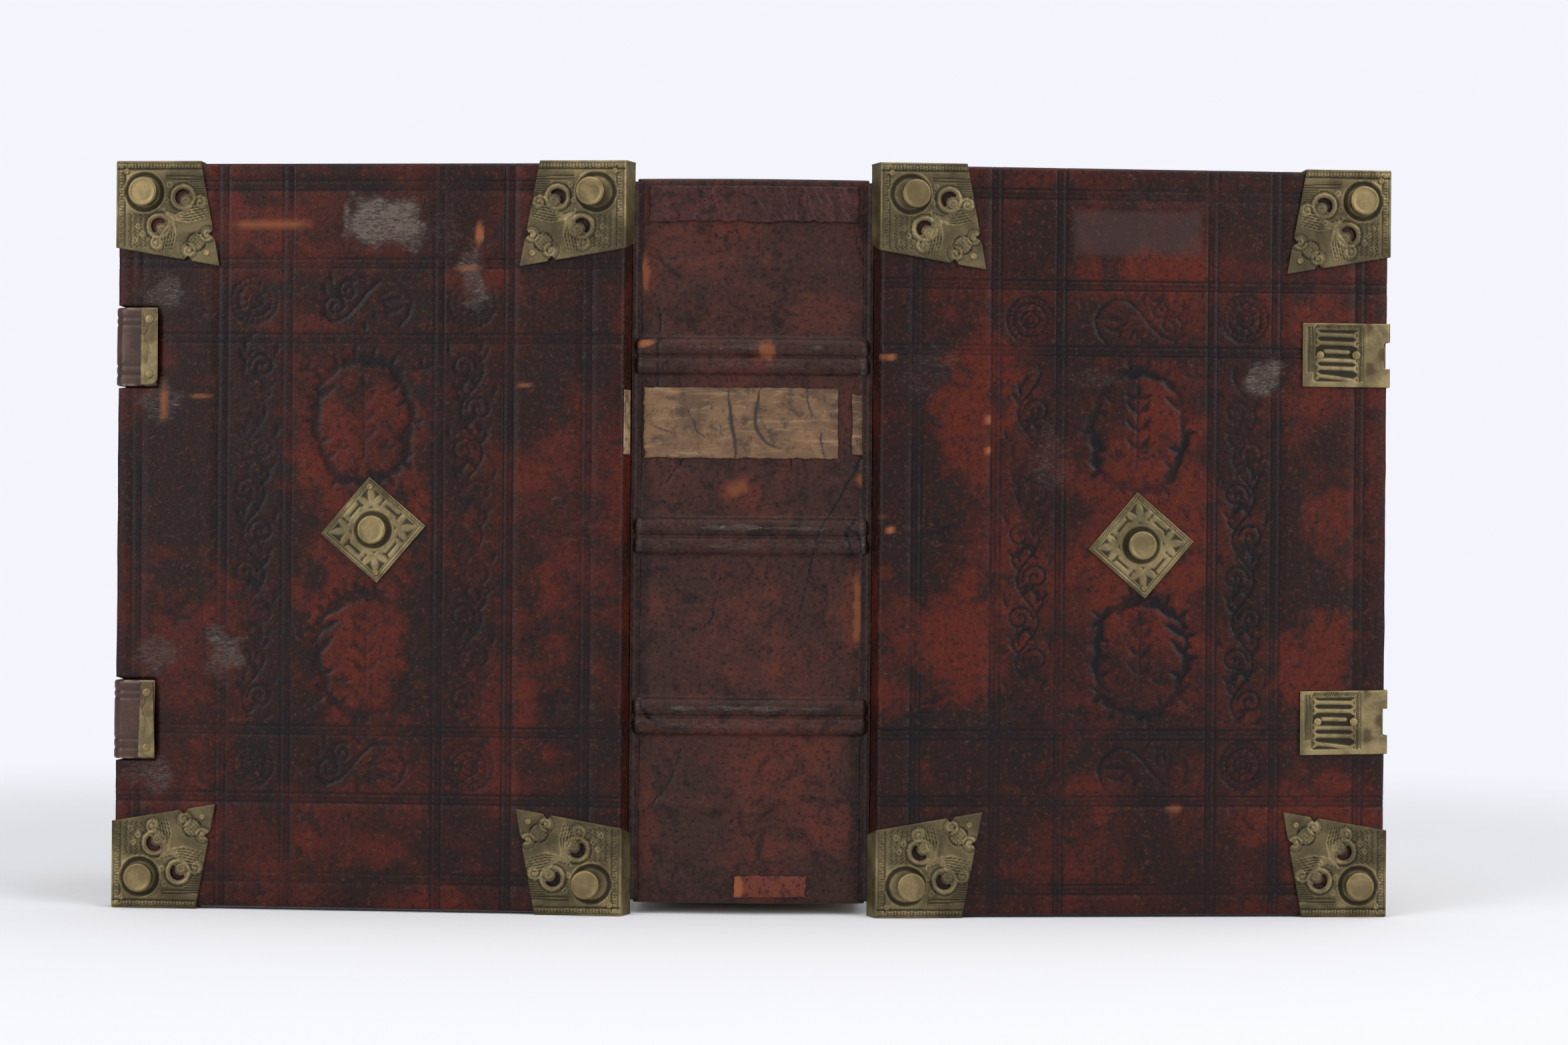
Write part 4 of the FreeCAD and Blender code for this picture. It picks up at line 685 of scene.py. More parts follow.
def cover_leather(cover):
    plan = TOOLING[cover]
    near, far = BOARD_NEAR + BEVEL, BOARD_FAR
    inner_low_u, inner_high_u = near + EDGE_ROUND, far - EDGE_ROUND
    inner_low_v, inner_high_v = BOARD_FOOT + EDGE_ROUND, BOARD_HEAD - EDGE_ROUND
    uprights = [SPINE_FACE + place for place in plan["uprights"]]
    fine_u = [(SPINE_FACE + a, SPINE_FACE + b) for a, b in plan["fine_u"]]
    us = spaced(inner_low_u, inner_high_u, uprights, fine_u, CLOSE_STEP, WIDE_STEP)
    vs = spaced(inner_low_v, inner_high_v, plan["levels"], plan["fine_v"], CLOSE_STEP, WIDE_STEP)
    walls = BEDS if cover == "back" else HOOK_POCKETS
    bed_edge = BOARD_FAR - BED_LONG
    if cover == "back":
        us = np.union1d(us, [bed_edge - 0.15, bed_edge + 0.15])
    extra = [edge + offset for span in walls for edge in span for offset in (-0.45, -0.15)]
    vs = np.union1d(vs, extra)

    grid_u, grid_v = np.meshgrid(us, vs)
    pressed = tooled(cover, grid_u, grid_v, uprights)
    marks = wear_marks(grid_u, grid_v, WEAR[cover], 0, SPINE_FACE, 0.5)
    pressed *= 1 - 0.75 * np.clip(marks["grey"] * 1.2, 0, 1)
    top = BOARD_THICK + skin_height(cover, grid_u, grid_v, pressed, marks)

    # Past each edge the grid rolls down the side of the board, and closes under it.
    wall = BOARD_THICK - EDGE_ROUND - 0.5
    reach = EDGE_ROUND * np.concatenate([[0.0], np.sin(ROLL), np.ones(WALL_ROWS), [0.6]])
    drop = np.concatenate([
        [0.0], EDGE_ROUND * (1 - np.cos(ROLL)),
        EDGE_ROUND + wall * np.linspace(1 / WALL_ROWS, 1, WALL_ROWS), [BOARD_THICK],
    ])
    over = len(reach) - 1
    rows, columns = len(vs) + 2 * over, len(us) + 2 * over
    i = np.arange(columns) - over
    j = np.arange(rows) - over
    past_u = np.where(i < 0, -i, np.maximum(i - len(us) + 1, 0))
    past_v = np.where(j < 0, -j, np.maximum(j - len(vs) + 1, 0))
    keep_u, keep_v = np.clip(i, 0, len(us) - 1), np.clip(j, 0, len(vs) - 1)
    pu, pv = np.meshgrid(past_u, past_v)
    ring_at = np.maximum(pu, pv)
    turn = np.where(pu >= pv, pv / np.maximum(pu, 1) * 45.0, 90 - pu / np.maximum(pv, 1) * 45.0)
    turn = np.radians(np.where(ring_at == 0, 0, turn))
    out_u = np.cos(turn) * reach[ring_at] * np.where(pu > 0, 1, 0) * np.sign(i + 0.1)[None, :]
    out_v = np.sin(turn) * reach[ring_at] * np.where(pv > 0, 1, 0) * np.sign(j + 0.1)[:, None]
    base_u, base_v = np.meshgrid(us[keep_u], vs[keep_v])
    base_z = top[np.ix_(keep_v, keep_u)]
    u, v = base_u + out_u, base_v + out_v
    z = base_z - drop[ring_at] * base_z / BOARD_THICK
    z = np.where(ring_at == 0, base_z, z)
    sloped = (i < 0)[None, :] & (ring_at > 0)
    u = np.where(sloped, u - BEVEL * (1 - z / BOARD_THICK), u)
    wobble = (cloud(base_v, z * 3, 9, 41 + SIDES[cover], 3) - 0.5) * 0.5 * (ring_at > 2)
    u = u - wobble * np.sign(i)[None, :] * (pu > 0) * 0.6
    v = v - wobble * np.sign(j)[:, None] * (pv > 0) * 0.6

    at_fore = (i >= len(us) - 1)[None, :]
    for low, high in walls:
        inside = (v > low - 0.3) & (v < high + 0.3)
        if cover == "back":
            lowered = smooth_step(u, bed_edge - 0.2, bed_edge + 0.2) * inside
            z = z - np.where(z > 5, BED_DEEP * lowered, 0)
            u = np.where(inside & at_fore, u - FORE_BED_DEEP, u)
        else:
            hollow = inside & at_fore & (z > 1.6)
            u = np.where(hollow, u - POCKET_DEEP, u)

    points = on_cover(cover, u, v, z)
    faces = quads_of(rows, columns)
    edge = border_of(rows, columns)
    # Inside, the leather is turned in along three edges, and then closes within the board.
    edge_u, edge_v = u.ravel()[edge], v.ravel()[edge]
    turned_u = np.clip(edge_u, near - BEVEL + SPINE_TURN_IN, far - TURN_IN)
    turned_v = np.clip(edge_v, BOARD_FOOT + TURN_IN, BOARD_HEAD - TURN_IN)
    lips = [on_cover(cover, turned_u, turned_v, rise) for rise in (0.0, LIP_DEEP)]
    middle = on_cover(cover, *HIDDEN_MIDDLE, LIP_DEEP).reshape(1, 3)
    count, size = len(edge), rows * columns
    step = np.arange(count)
    after = np.roll(step, -1)
    first_lip, second_lip = size + step, size + count + step
    fan = np.concatenate([
        np.stack([edge, first_lip, np.roll(edge, -1)], -1),
        np.stack([first_lip, size + after, np.roll(edge, -1)], -1),
        np.stack([first_lip, second_lip, size + after], -1),
        np.stack([second_lip, size + count + after, size + after], -1),
        np.stack([second_lip, np.full(count, size + 2 * count), size + count + after], -1),
    ])
    if cover == "back":
        faces, fan = faces[:, ::-1], fan[:, ::-1]
    hidden = np.zeros(2 * count + 1)
    fields = {"pressed": pressed, **marks}
    spread = {}
    for key, values in fields.items():
        grown = values[np.ix_(keep_v, keep_u)] * (ring_at < 5)
        spread[key] = np.append(grown.ravel(), hidden)
    edge_wear = 0.55 * np.exp(-(((ring_at - 2.5) / 2.0) ** 2)) * smooth_step(
        cloud(base_u + base_v, base_v - base_u, 6, 51 + SIDES[cover], 3), 0.4, 0.7
    )
    rubbed_edge = np.append((edge_wear * (ring_at > 0)).ravel(), hidden)
    spread["grey"] = np.maximum(spread["grey"], rubbed_edge)
    made = piece(
        f"{cover}_tooled_leather", np.vstack([points.reshape(-1, 3), *lips, middle]), [faces, fan],
        leather, spread,
    )
    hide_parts(f"{cover}_cover_leather")
    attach(made, f"{cover}_cover")


for cover in SIDES:
    cover_leather(cover)


# ---------------------------------------------------------------------------------------------
# Leather over the spine: it is drawn tight over three pairs of cords, so each band shows as two
# ridges, and it is turned in at head and tail. Dry cracks and rubbed spots cross it.
BAND_MIDDLES = [middle_height(f"{name}_band_cords") for name in ("lower", "middle", "upper")]
SPINE_HALF, SPINE_FRONT, SPINE_BOW = 37.75, 79.275, 298.1
SPINE_LOW, SPINE_HIGH, SPINE_SKIN = 3.6, 240.0, 1.3
KETTLES = (35.0, 211.0)
CORD_ASIDE, CORD_HALF, CORD_LIFT = 2.9, 3.3, 2.95
SPINE_COLUMNS, SPINE_STEP = 110, 1.1


def spine_face(x):
    return -SPINE_FRONT + SPINE_BOW - np.sqrt(SPINE_BOW**2 - x**2)


def closed_slab(name, outer, inner, material, fields=None):
    """A sheet with an outer and an inner grid of points, closed round its four edges."""
    rows, columns = outer.shape[:2]
    size = rows * columns
    front = quads_of(rows, columns)
    border = border_of(rows, columns)
    after = np.roll(border, -1)
    wall = np.stack([after, border, border + size, after + size], -1)
    both = {key: np.concatenate([value.ravel()] * 2) for key, value in (fields or {}).items()}
    points = np.concatenate([outer.reshape(-1, 3), inner.reshape(-1, 3)])
    return piece(name, points, [front, front[:, ::-1] + size, wall], material, both)


def spine_rise(z):
    """How far the cords lift the leather at each height."""
    rise = np.zeros_like(z)
    for middle in BAND_MIDDLES:
        away = np.abs(z - middle)
        for side in (-CORD_ASIDE, CORD_ASIDE):
            over = np.clip(1 - ((z - middle - side) / CORD_HALF) ** 2, 0, 1)
            rise = np.maximum(rise, CORD_LIFT * np.sqrt(over))
        rise = np.maximum(rise, 1.15 * (1 - smooth_step(away, 2.0, 5.6)))
        rise = np.maximum(rise, 0.35 * (1 - smooth_step(away, 5.5, 9.5)))
    for middle in KETTLES:
        rise = np.maximum(rise, 0.6 * (1 - smooth_step(np.abs(z - middle), 0.8, 3.6)))
    return rise


# Wear on the spine, as on the covers, but across from its middle.
SPINE_WEAR = (
    ("warm", 4, 183, 5, 6, 0.9), ("warm", -34, 212, 4, 10, 0.9), ("warm", -4, 138, 9, 5, 0.9),
    ("warm", 34, 96, 5, 24, 0.9), ("warm", -8, 224, 20, 5, 0.3), ("warm", -10, 90, 22, 26, 0.5),
    ("warm", 10, 40, 24, 26, 0.4), ("warm", -34, 30, 5, 22, 0.5), ("warm", 20, 196, 14, 8, 0.5),
    ("chip", 4.5, 183.5, 2.6, 3.4, 0.55), ("chip", -34.5, 186, 3, 1.2, 0.8),
    ("chip", 34.8, 100, 1.6, 14, 0.6),
    ("chip", -35.2, 208, 1.3, 7, 0.6), ("chip", -5, 139, 5, 2.4, 0.35), ("chip", 35.4, 142, 1.4, 2, 0.7),
    ("dark", 0, 126, 36, 5, 0.4), ("dark", 0, 67, 36, 5, 0.35), ("dark", -20, 10, 18, 8, 0.6),
    ("dark", 24, 14, 14, 10, 0.5), ("dark", 36, 60, 4, 60, 0.6), ("dark", -36, 120, 4, 80, 0.6),
    ("grey", 36.5, 120, 1.6, 110, 0.8), ("grey", -36.8, 120, 1.4, 110, 0.8),
    ("grey", 0, 184.9, 34, 1.2, 0.8),
    ("grey", 0, 179.1, 34, 1.2, 0.6), ("grey", 0, 126.2, 34, 1.2, 0.8), ("grey", 0, 120.4, 34, 1.2, 0.6),
    ("grey", 0, 67.5, 34, 1.2, 0.8), ("grey", 0, 61.7, 34, 1.2, 0.6), ("grey", 0, 211, 34, 1.4, 0.35),
)


def crack(press, x, y, long, turn, wide, seed, deep=1.0):
    """A dry crack that wanders as it runs."""
    dice = np.random.default_rng(seed)
    angle = math.radians(turn) + np.cumsum(dice.uniform(-0.35, 0.35, 12))
    steps = np.stack([np.cos(angle), np.sin(angle)], -1) * long / 12
    press.stroke(np.array([x, y]) + np.vstack([[0, 0], np.cumsum(steps, 0)]), wide, deep, taper=True)


# Each crack: where it starts, its length, the way it runs in degrees, and its width.
SPINE_CRACKS = (
    (34, 130, 14, -95, 0.9), (35.5, 118, 12, 80, 0.7), (-36, 70, 12, -85, 0.9),
    (33, 232, 150, -90, 0.5), (-33, 205, 60, -92, 0.45), (-10, 110, 22, -80, 0.35),
    (12, 160, 18, -100, 0.35), (-22, 58, 30, -86, 0.35), (26, 52, 26, -95, 0.35),
    (-30, 140, 12, 20, 0.35), (20, 108, 14, -10, 0.3), (-20, 34, 16, 5, 0.3),
)
spine_calf = calf("spine_leather", (0.075, 0.0195, 0.0125), (0.034, 0.0150, 0.0120), 1300, 0.7)
ridge_steps = [
    middle + side + step for middle in BAND_MIDDLES for side in (-CORD_ASIDE, CORD_ASIDE)
    for step in np.linspace(-3.2, 3.2, 11)
]
end_steps = np.array([0, 0.12, 0.45, 0.9])
spine_z = np.array(sorted(set(np.round(np.concatenate([
    np.arange(SPINE_LOW + 1.4, SPINE_HIGH - 1.4, SPINE_STEP), ridge_steps,
    SPINE_LOW + end_steps, SPINE_HIGH - end_steps,
]), 3))))
spine_x = np.linspace(-SPINE_HALF, SPINE_HALF, SPINE_COLUMNS)
across, up = np.meshgrid(spine_x, spine_z)
cracks = Press(across, up)
for index, (x, z, long, turn, wide) in enumerate(SPINE_CRACKS):
    crack(cracks, x, z, long, turn, wide, index + 60)
marks = wear_marks(across, up, SPINE_WEAR, 70)
puckers = (cloud(across / 3.0, up, 2.2, 71, 3) - 0.5) * 0.22
wrinkles = puckers + (cloud(across, up, 12, 72, 3) - 0.5) * 0.5
ends = np.minimum(up - SPINE_LOW, SPINE_HIGH - up)
turned = 1.25 * (1 - np.sqrt(np.clip(1 - (1 - np.clip(ends, 0, 1.4) / 1.4) ** 2, 0, 1)))
edges = 0.7 * smooth_step(np.abs(across), SPINE_HALF - 1.2, SPINE_HALF)
rise = spine_rise(up) * (1 - 0.06 * cloud(across, up, 9, 73, 3))
depth = rise + wrinkles * 0.7 - 0.15 - 0.5 * cracks.depth - turned - edges - 0.12 * marks["chip"]
face = spine_face(across)
fronts = np.stack([across, face - depth, up], -1)
backs = np.stack([across, face + SPINE_SKIN - 0.92 * np.clip(rise - 0.4, 0, 3), up], -1)
backs[..., 1] = np.maximum(backs[..., 1], fronts[..., 1] + 0.35)
made = closed_slab(
    "drawn_spine_leather", fronts, backs, spine_calf, {"pressed": cracks.depth * 0.9, **marks}
)
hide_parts("spine_leather")
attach(made, "book_block")


# ---------------------------------------------------------------------------------------------
# The joints: the same leather runs on from the spine to each board as a narrow limp strip. It is
# the hinge of the cover.
JOINT_THICK, JOINT_MIDDLE = 0.35, 0.12


def joint_leather(cover):
    s = SIDES[cover]
    z = np.arange(SPINE_LOW + 1.0, SPINE_HIGH - 1.0, SPINE_STEP)
    way = np.linspace(0, 1, 15)
    on_spine = np.array([s * (SPINE_HALF - 1.6), spine_face(SPINE_HALF - 1.6) - 0.22])
    on_board = on_cover(cover, 0.72, 0.0, 1.9)[:2]
    valley = np.array([s * (HINGE_X - 0.25), HINGE_Y + 0.1])
    line = (
        np.outer((1 - way) ** 2, on_spine) + np.outer(2 * way * (1 - way), valley)
        + np.outer(way**2, on_board)
    )
    aside = np.gradient(line, axis=0)
    aside = np.stack([s * aside[:, 1], -s * aside[:, 0]], -1)
    aside /= np.linalg.norm(aside, axis=1, keepdims=True)
    ragged = (cloud(way[None, :] * 9, z[:, None], 5, 81 + s, 3) - 0.5) * 0.25
    grid = np.repeat(line[None], len(z), 0) + aside[None] * ragged[..., None]
    up = np.broadcast_to(z[:, None, None], (*grid.shape[:2], 1))
    outer = np.concatenate([grid + aside[None] * JOINT_THICK, up], -1)
    inner = np.concatenate([grid, up], -1)
    if s < 0:
        outer, inner = outer[:, ::-1], inner[:, ::-1]
    blank = np.zeros(outer.shape[:2])
    shades = {**dict.fromkeys(SKIN_FIELDS, 0.0), "grey": 0.3, "dark": 0.8}
    made = closed_slab(
        f"{cover}_joint_leather", outer, inner, spine_calf,
        {key: blank + shade for key, shade in shades.items()},
    )
    end = (*(on_cover(cover, 0.6, 0.0, 1.6)[:2] * MM), JOINT_MIDDLE)
    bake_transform(made)


for cover in SIDES:
    joint_leather(cover)


# ---------------------------------------------------------------------------------------------
# What is glued on the spine: a paper label, cracked in two and dirty, without any writing, a
# wrinkled piece of newer leather over the head, and a small red patch at the tail.
def glued_sheet(name, node, x_span, z_span, thick, material, relief, torn, marks, step):
    """A sheet that lies on the spine and follows it, with its edges torn by some amount."""
    wide, high = x_span[1] - x_span[0], z_span[1] - z_span[0]
    across, up = np.meshgrid(
        np.linspace(*x_span, int(wide / step)), np.linspace(*z_span, int(high / step))
    )
    pull_x = np.clip((across - x_span[0]) / wide, 0, 1)
    pull_z = np.clip((up - z_span[0]) / high, 0, 1)
    left, right, foot, head = torn
    noise = cloud(across * 1.3, up * 1.3, 3.2, len(name) + 90, 4)
    px = across + left * noise * (1 - pull_x) ** 6 - right * noise * pull_x**6
    pz = up + foot * noise * (1 - pull_z) ** 6 - head * noise * pull_z**6
    base = spine_face(px) - 0.25
    near_edge = np.minimum(
        np.minimum(pull_x, 1 - pull_x) * wide, np.minimum(pull_z, 1 - pull_z) * high
    )
    front = base - thick * (0.55 + 0.45 * smooth_step(near_edge, 0, 0.8)) - relief(px, pz)
    outer = np.stack([px, front, pz], -1)
    inner = np.stack([px, np.maximum(base, front + 0.12), pz], -1)
    made = closed_slab(name, outer, inner, material, marks(px, pz))
    if node:
        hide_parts(node)
    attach(made, "book_block")


paper = Finish("old_label_paper")
at = paper.place()
stain = paper.clouds(at, 45, 6, 0.7, 1.0)
spots = paper.clouds(at, 260, 4, 0.75)
streaks = paper.clouds(paper.stretch(at, 0.35, 1, 3.0), 160, 5, 0.7, 0.6)
colour = paper.mix(paper.between(stain, 0.35, 0.65), (0.075, 0.036, 0.016), (0.175, 0.092, 0.040))
colour = paper.mix(paper.between(streaks, 0.5, 0.72) * 0.6, colour, (0.30, 0.195, 0.10))
colour = paper.mix(paper.between(spots, 0.5, 0.66) * 0.8, colour, (0.036, 0.017, 0.009))
colour = paper.mix(paper.field("crack"), colour, (0.018, 0.010, 0.008))
label_paper = paper.surface(
    colour, 0.72, normal=paper.bump(0.6 * spots + streaks, 0.00018, 0.6)
)
# Cracks in the paper, given as on the spine.
LABEL_CRACKS = (
    (-7.5, 172, 26, -92, 0.9), (2.8, 172, 25, -88, 0.8), (-21, 165, 12, -70, 0.4),
    (18, 172, 12, -80, 0.4), (24, 149, 10, 100, 0.4), (-33, 160, 9, -30, 0.4),
)


def label_cracks(x, z):
    """How deep the label is cracked, and how dark it is along the cracks and the rim."""
    press = Press(x, z)
    for index, (px, pz, long, turn, wide) in enumerate(LABEL_CRACKS):
        crack(press, px, pz, long, turn, wide, index + 33)
    rim = 0.5 * smooth_step(np.abs(x + 3.6), 31.4, 32.4)
    rim = rim + 0.5 * smooth_step(np.abs(z - 160.3), 11.2, 12.0)
    return press.depth, np.clip(np.maximum(press.depth, rim * cloud(x, z, 4, 5, 3)), 0, 1)


def label_relief(x, z):
    return -0.14 * label_cracks(x, z)[0] + 0.12 * (cloud(x, z * 2, 5, 8, 3) - 0.5)


glued_sheet(
    "spine_paper_label", "spine_label", (-35.9, 28.7), (148.3, 172.2), 0.24, label_paper,
    label_relief, (1.4, 1.0, 1.0, 0.8),
    lambda x, z: {"crack": label_cracks(x, z)[1]}, 0.45,
)
glued_sheet(
    "spine_label_scrap", None, (32.1, 36.5), (149.9, 170.6), 0.24, label_paper,
    lambda x, z: 0.0 * x, (1.2, 0.6, 0.8, 1.4),
    lambda x, z: {"crack": 0.6 * smooth_step(cloud(x, z, 3, 6, 3), 0.5, 0.8)}, 0.45,
)


def wrinkled(x, z):
    """Deep slanting wrinkles, as thin leather gets when it is pasted down wet."""
    folds = np.abs(cloud(x * 1.1 + z * 0.5, z * 0.5, 3.6, 15, 3) - 0.5) * 2
    return 0.55 * (1 - folds) ** 3 + 0.18 * cloud(x, z, 1.6, 16, 3) - 0.25


def plain_wear(x, z, warm, grey):
    blank = np.zeros_like(x)
    dusty = blank + grey * cloud(x, z, 4, 17, 3)
    return {**dict.fromkeys(SKIN_FIELDS, blank), "grey": dusty, "warm": blank + warm}


def patch_wear(x, z):
    """The patch is rubbed bare at its left end."""
    bare = 0.8 * (1 - smooth_step(np.hypot((x + 3.6) / 2, (z - 9) / 4.4), 0.6, 1.2))
    return {**plain_wear(x, z, 0.6, 0.1), "chip": bare}


repair_calf = calf("repair_leather", (0.066, 0.0200, 0.0165), (0.038, 0.0140, 0.0130), 1100, 0.9)
patch_calf = calf("patch_leather", (0.120, 0.0300, 0.0200), (0.070, 0.0180, 0.0140), 1100, 0.4)
glued_sheet(
    "head_repair_piece", "head_repair_leather", (-34.9, 34.9), (224.9, 237.7), 0.4, repair_calf,
    wrinkled, (1.6, 1.6, 2.2, 0.4), lambda x, z: plain_wear(x, z, 0.1, 0.55), 0.45,
)
glued_sheet(
    "tail_repair_piece", "tail_repair_leather", (-5.4, 19.4), (5.5, 13.3), 0.4, patch_calf,
    lambda x, z: 0.15 * wrinkled(x, z), (1.2, 1.4, 0.5, 1.2), patch_wear, 0.6,
)


# ---------------------------------------------------------------------------------------------
# Brass corners: thin plates folded over two edges of each board, pierced with two crescents and
# chased with scrolls, flutes and a thistle. One design is pressed eight times.
def old_brass(name, bright, dull, patina_and_shade, patina=0.5):
    metal = Finish(name)
    at = metal.place()
    broad = metal.clouds(at, 90, 5, 0.65, 0.5)
    fine = metal.clouds(at, 900, 4, 0.7)
    scratches = metal.clouds(metal.stretch(at, 1, 1, 0.12), 2600, 2, 0.6)
    low = metal.field("low")
    colour = metal.mix(metal.between(broad, 0.38, 0.66), dull, bright)
    colour = metal.mix(metal.between(fine, 0.55, 0.75) * patina, colour, (0.085, 0.060, 0.030))
    colour = metal.mix(metal.field("stain"), colour, (0.070, 0.040, 0.022))
    # Dark where the field low is set: patina in cut grooves, and patina with painted shade on the studs'
    # lower sides.
    colour = metal.mix(low * 0.93, colour, patina_and_shade)
    height = 0.5 * fine + 0.35 * scratches + 0.6 * broad
    rough = 0.33 + 0.22 * broad + 0.3 * low
    return metal.surface(
        colour, rough.clip(), 0.82, metal.bump(height, 0.00009, 0.7)
    )


corner_brass = old_brass(
    "chased_brass", (0.29, 0.225, 0.11), (0.14, 0.11, 0.055), (0.012, 0.011, 0.009)
)
FOLD = 0.9
FLANGE_FOOT = 1.5
PLATE_TOP = BOARD_THICK + BRASS_THICK
# The face of a corner, and the middles of its two holes and its boss, from its folded corner.
KITE = ((28.2, 0.0), (34.6, 34.4), (0.0, 28.5))
CRESCENTS = ((22.4, 12.0), (14.4, 21.4))
CORNER_STEP, PLATE_STEP = 0.44, 0.36
BOSS_AT = (9.6, 10.3)


def inside_of(loop, x, y):
    """Whether points lie inside a closed loop."""
    loop = np.asarray(loop)
    odd = np.zeros(np.shape(x), bool)
    for (x0, y0), (x1, y1) in zip(loop, np.roll(loop, -1, axis=0)):
        if y0 == y1:
            continue
        crosses = ((y0 > y) != (y1 > y)) & (x < (x1 - x0) * (y - y0) / (y1 - y0) + x0)
        odd ^= crosses
    return odd


def dense(loop, step):
    points = []
    loop = np.asarray(loop, float)
    for first, second in zip(loop, np.roll(loop, -1, axis=0)):
        count = max(1, int(round(np.hypot(*(second - first)) / step)))
        points += [first + (second - first) * share / count for share in range(count)]
    return np.array(points)


def far_from(loop, x, y, gap):
    """Whether points keep a distance from a densely pointed loop."""
    clear = np.ones(len(x), bool)
    for px, py in loop:
        clear &= (x - px) ** 2 + (y - py) ** 2 > gap * gap
    return clear


class Blank:
    """A flat blank cut to an outline with holes: its points, its triangles and its edges."""

    def __init__(self, outline, holes, step):
        loops = [dense(outline, step), *[dense(hole, step * 0.8) for hole in holes]]
        low, high = loops[0].min(0), loops[0].max(0)
        x, y = np.meshgrid(
            np.arange(low[0], high[0], step), np.arange(low[1], high[1], step * 0.87)
        )
        x = x + (np.arange(len(x)) % 2)[:, None] * step / 2
        x, y = x.ravel(), y.ravel()
        keep = inside_of(loops[0], x, y)
        for hole in loops[1:]:
            keep &= ~inside_of(hole, x, y)
        x, y = x[keep], y[keep]
        for loop in loops:
            keep = far_from(loop, x, y, step * 0.55)
            x, y = x[keep], y[keep]
        self.walls, edges, start = [], [], 0
        for loop in loops:
            ring = np.arange(start, start + len(loop))
            self.walls.append(ring)
            edges += [(int(a), int(b)) for a, b in zip(ring, np.roll(ring, -1))]
            start += len(loop)
        rim = np.concatenate(loops)
        every = np.concatenate([rim, np.stack([x, y], -1)])
        found = delaunay_2d_cdt([tuple(p) for p in every], edges, [], 0, 1e-6)
        self.points = np.array([tuple(p) for p in found[0]])
        triangles = np.array([face for face in found[2] if len(face) == 3])
        middle = self.points[triangles].mean(1)
        keep = inside_of(loops[0], middle[:, 0], middle[:, 1])
        for hole in loops[1:]:
            keep &= ~inside_of(hole, middle[:, 0], middle[:, 1])
        triangles = triangles[keep]
        a, b, c = (self.points[triangles[:, k]] for k in range(3))
        wrong = (b - a)[:, 0] * (c - a)[:, 1] - (b - a)[:, 1] * (c - a)[:, 0] < 0
        triangles[wrong] = triangles[wrong][:, ::-1]
        self.triangles = triangles
        self.hands = []
        for ring in self.walls:
            loop = self.points[ring]
            turn = loop[:, 0] * np.roll(loop[:, 1], -1) - loop[:, 1] * np.roll(loop[:, 0], -1)
            outer = ring is self.walls[0]
            self.hands.append((turn.sum() > 0) == outer)

    def form(self, name, place, relief, thick, material, fields, mirrored=False):
        """The blank as a closed piece: place(x, y, height) gives each point of the frame."""
        x, y = self.points[:, 0], self.points[:, 1]
        size = len(x)
        points = np.concatenate([place(x, y, relief), place(x, y, np.full(size, -thick))])
        walls = []
        for ring, right in zip(self.walls, self.hands):
            after = np.roll(ring, -1)
            wall = np.stack([after, ring, ring + size, after + size], -1)
            walls.append(wall if right else wall[:, ::-1])
        walls = np.concatenate(walls)
        faces = np.concatenate([self.triangles, self.triangles[:, ::-1] + size])
        if mirrored:
            faces, walls = faces[:, ::-1], walls[:, ::-1]
        both = {key: np.concatenate([value, value]) for key, value in fields.items()}
        return piece(name, points, [faces, walls], material, both)


def folded(t, drop_to):
    """How far in, how far down and how turned a plate is, by the distance past its fold."""
    past = np.clip(FOLD - t, 0, None)
    angle = np.clip(past / FOLD, 0, math.pi / 2)
    down = FOLD * (1 - np.cos(angle)) + np.clip(past - FOLD * math.pi / 2, 0, drop_to - FOLD)
    return np.where(past > 0, FOLD - FOLD * np.sin(angle), t), down, angle


FLANGE = FOLD * math.pi / 2 + (PLATE_TOP - FLANGE_FOOT - FOLD) - FOLD


def crescent(x, y):
    turns = np.radians(np.linspace(-100, 100, 15) + 225)
    back = np.radians(np.linspace(75, -75, 9) + 225)
    outer = np.stack([x + 2.7 * np.cos(turns), y + 2.7 * np.sin(turns)], -1)
    inner = np.stack([x + 0.9 + 2.0 * np.cos(back), y + 0.9 + 2.0 * np.sin(back)], -1)
    return np.concatenate([outer, inner])


def notched(start, stop, inward):
    """A straight side with a small notch before its tip."""
    start, stop, inward = (np.array(point, float) for point in (start, stop, inward))
    along = (stop - start) / np.linalg.norm(stop - start)
    middle = stop - along * 10.5
    return [middle - along * 1.4, middle - inward, middle + along * 1.4]


corner_outline = [
    (0, -FLANGE), (28.2, -FLANGE), KITE[0], *notched(KITE[0], KITE[1], (1.6, 0)), KITE[1],
    *reversed(notched(KITE[2], KITE[1], (0, 1.6))), KITE[2], (-FLANGE, KITE[2][1] - 2.2),
    (-FLANGE, 0), (0, 0),
]
corner_blank = Blank(corner_outline, [crescent(*spot) for spot in CRESCENTS], CORNER_STEP)
ax, ay = corner_blank.points[:, 0], corner_blank.points[:, 1]
cut, ridge = Press(ax, ay), Press(ax, ay)
for level, share in ((0.45, 0.7), (2.5, 1.0)):
    cut.stroke([(0.4, level + 0.3), (28.6 + level * 0.2, level + 0.3)], 0.32, share)
    cut.stroke([(level + 0.5, 2.0), (level + 0.5, 28.0)], 0.32, share)
for along in np.arange(3.4, 28, 1.05):
    ridge.dot(along, 1.75, 0.5)
    cut.stroke([(along + 0.5, 1.1), (along + 0.5, 2.4)], 0.24, 0.8)
for down in np.arange(4.0, 27.5, 0.95):
    cut.stroke([(1.5, down), (2.6, down + 0.2)], 0.26, 0.8)
for level in (5.0, 5.9):
    cut.stroke([(17, level), (29.4, level + 0.2)], 0.3)
for down in np.arange(3.6, 5, 0.7):
    for along in np.arange(17, 29, 0.9):
        cut.dot(along, down, 0.3, 0.9)
